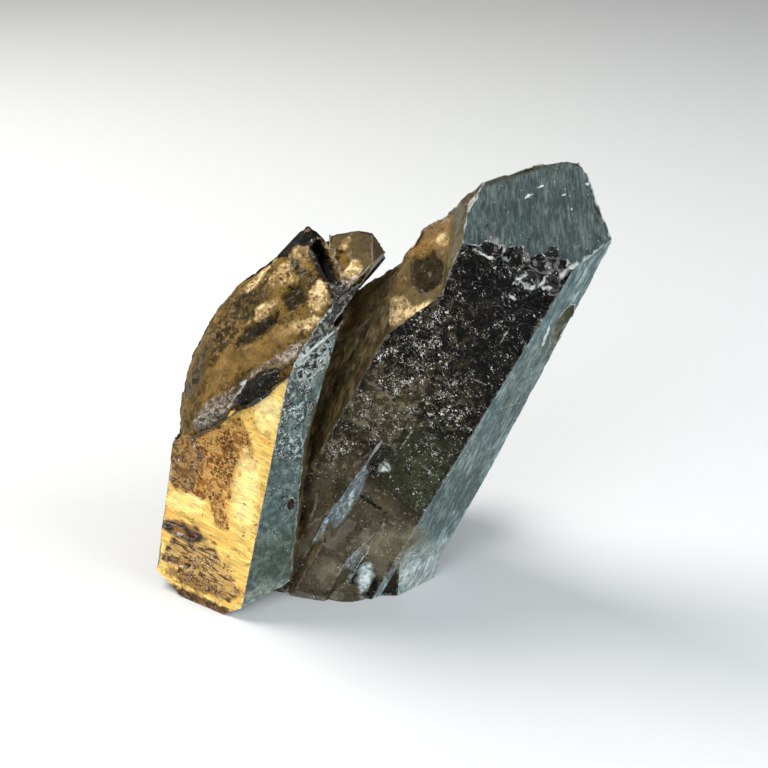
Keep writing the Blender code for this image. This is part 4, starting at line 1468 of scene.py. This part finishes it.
@dataclass(frozen=True)
class SoftLight:
    """A square lamp: its place and its side in metres, power, colour, and what it faces, in metres."""

    name: str
    place: Point
    side: float
    power: float
    colour: Point
    target: Point = (0.0, 0.0, 0.04)


@dataclass(frozen=True)
class Studio:
    """A plain pale floor, soft lamps, the sky, and the camera: what it looks at, from how far, from
    how many degrees up, and its focal length."""

    target: Point = (3.05, -6.48, 42.2)
    distance: float = 243.0
    elevation: float = 28.0
    lens: float = 60.0
    nearest_metres: float = 0.01
    lamps: tuple[SoftLight, ...] = (
        SoftLight("key_lamp", (-0.35, 0.2, 0.5), 0.3, 5.5, (1.0, 0.96, 0.9)),
        SoftLight("sky_lamp", (0.5, -0.15, 0.35), 0.35, 3.6, (0.88, 0.95, 1.0)),
        SoftLight("front_lamp", (-0.3, -0.45, 0.3), 0.4, 2.4, (1.0, 1.0, 1.0)),
    )
    world: Point = (0.93, 0.92, 0.88)
    world_strength: float = 0.34
    floor_colour: Point = (0.52, 0.535, 0.545)
    floor_rough: float = 0.6
    floor_metres: float = 6.0

    def build(self) -> None:
        """Makes the camera, floor, lamps and sky."""
        scene = bpy.context.scene
        scene.view_settings.view_transform = "Standard"
        self.place_camera()
        self.lay_floor()
        for lamp in self.lamps:
            self.hang(lamp)
        world = bpy.data.worlds.new("studio")
        world.use_nodes = True
        sky = world.node_tree.nodes["Background"]
        sky.inputs["Color"].default_value = (*self.world, 1.0)
        sky.inputs["Strength"].default_value = self.world_strength
        scene.world = world

    def place_camera(self) -> None:
        """Stands the camera in front, above the object, and makes it the scene's."""
        camera = bpy.data.objects.new("camera", bpy.data.cameras.new("camera"))
        up = math.radians(self.elevation)
        away = np.array([0.0, -math.cos(up), math.sin(up)]) * self.distance
        camera.location = (np.array(self.target) + away) * MM
        camera.rotation_euler = (math.pi / 2 - up, 0.0, 0.0)
        camera.data.lens = self.lens
        camera.data.clip_start = self.nearest_metres
        bpy.context.scene.collection.objects.link(camera)
        bpy.context.scene.camera = camera

    def lay_floor(self) -> None:
        """Makes the floor as one flat square at height zero."""
        half = 0.5 * self.floor_metres
        mesh = bpy.data.meshes.new("floor")
        square = [(-half, -half, 0.0), (half, -half, 0.0), (half, half, 0.0), (-half, half, 0.0)]
        mesh.from_pydata(square, [], [(0, 1, 2, 3)])
        material = bpy.data.materials.new("pale_floor")
        material.use_nodes = True
        shader = material.node_tree.nodes["Principled BSDF"]
        shader.inputs["Base Color"].default_value = (*self.floor_colour, 1.0)
        shader.inputs["Roughness"].default_value = self.floor_rough
        mesh.materials.append(material)
        floor = bpy.data.objects.new("floor", mesh)
        bpy.context.scene.collection.objects.link(floor)

    def hang(self, lamp: SoftLight) -> None:
        """Hangs one lamp.

        Args:
            lamp: Its place, size and power.
        """
        data = bpy.data.lights.new(lamp.name, "AREA")
        data.size = lamp.side
        data.energy = lamp.power
        data.color = lamp.colour
        light = bpy.data.objects.new(lamp.name, data)
        right, back, up = np.array(lamp.target) - np.array(lamp.place)
        light.location = lamp.place
        down, around = math.atan2(math.hypot(right, back), -up), math.atan2(back, right)
        light.rotation_euler = (down, 0.0, around - math.pi / 2)
        bpy.context.scene.collection.objects.link(light)


def main() -> None:
    """Builds the cluster's skin, its material and the studio."""
    logging.basicConfig(level=logging.INFO, format="%(name)s: %(message)s")
    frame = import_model()
    Studio().build()
    LOG.info("studio ready")
    skin = Skin()
    piece = skin.build(frame["nodes"][NODE])
    LOG.info("%s: %d points, %d triangles", piece.name, len(skin.points), len(skin.corners))
    piece.data.materials.append(QuartzMaterial().build())
    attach(piece, "root")
    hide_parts(NODE)


if __name__ == "__main__":
    main()
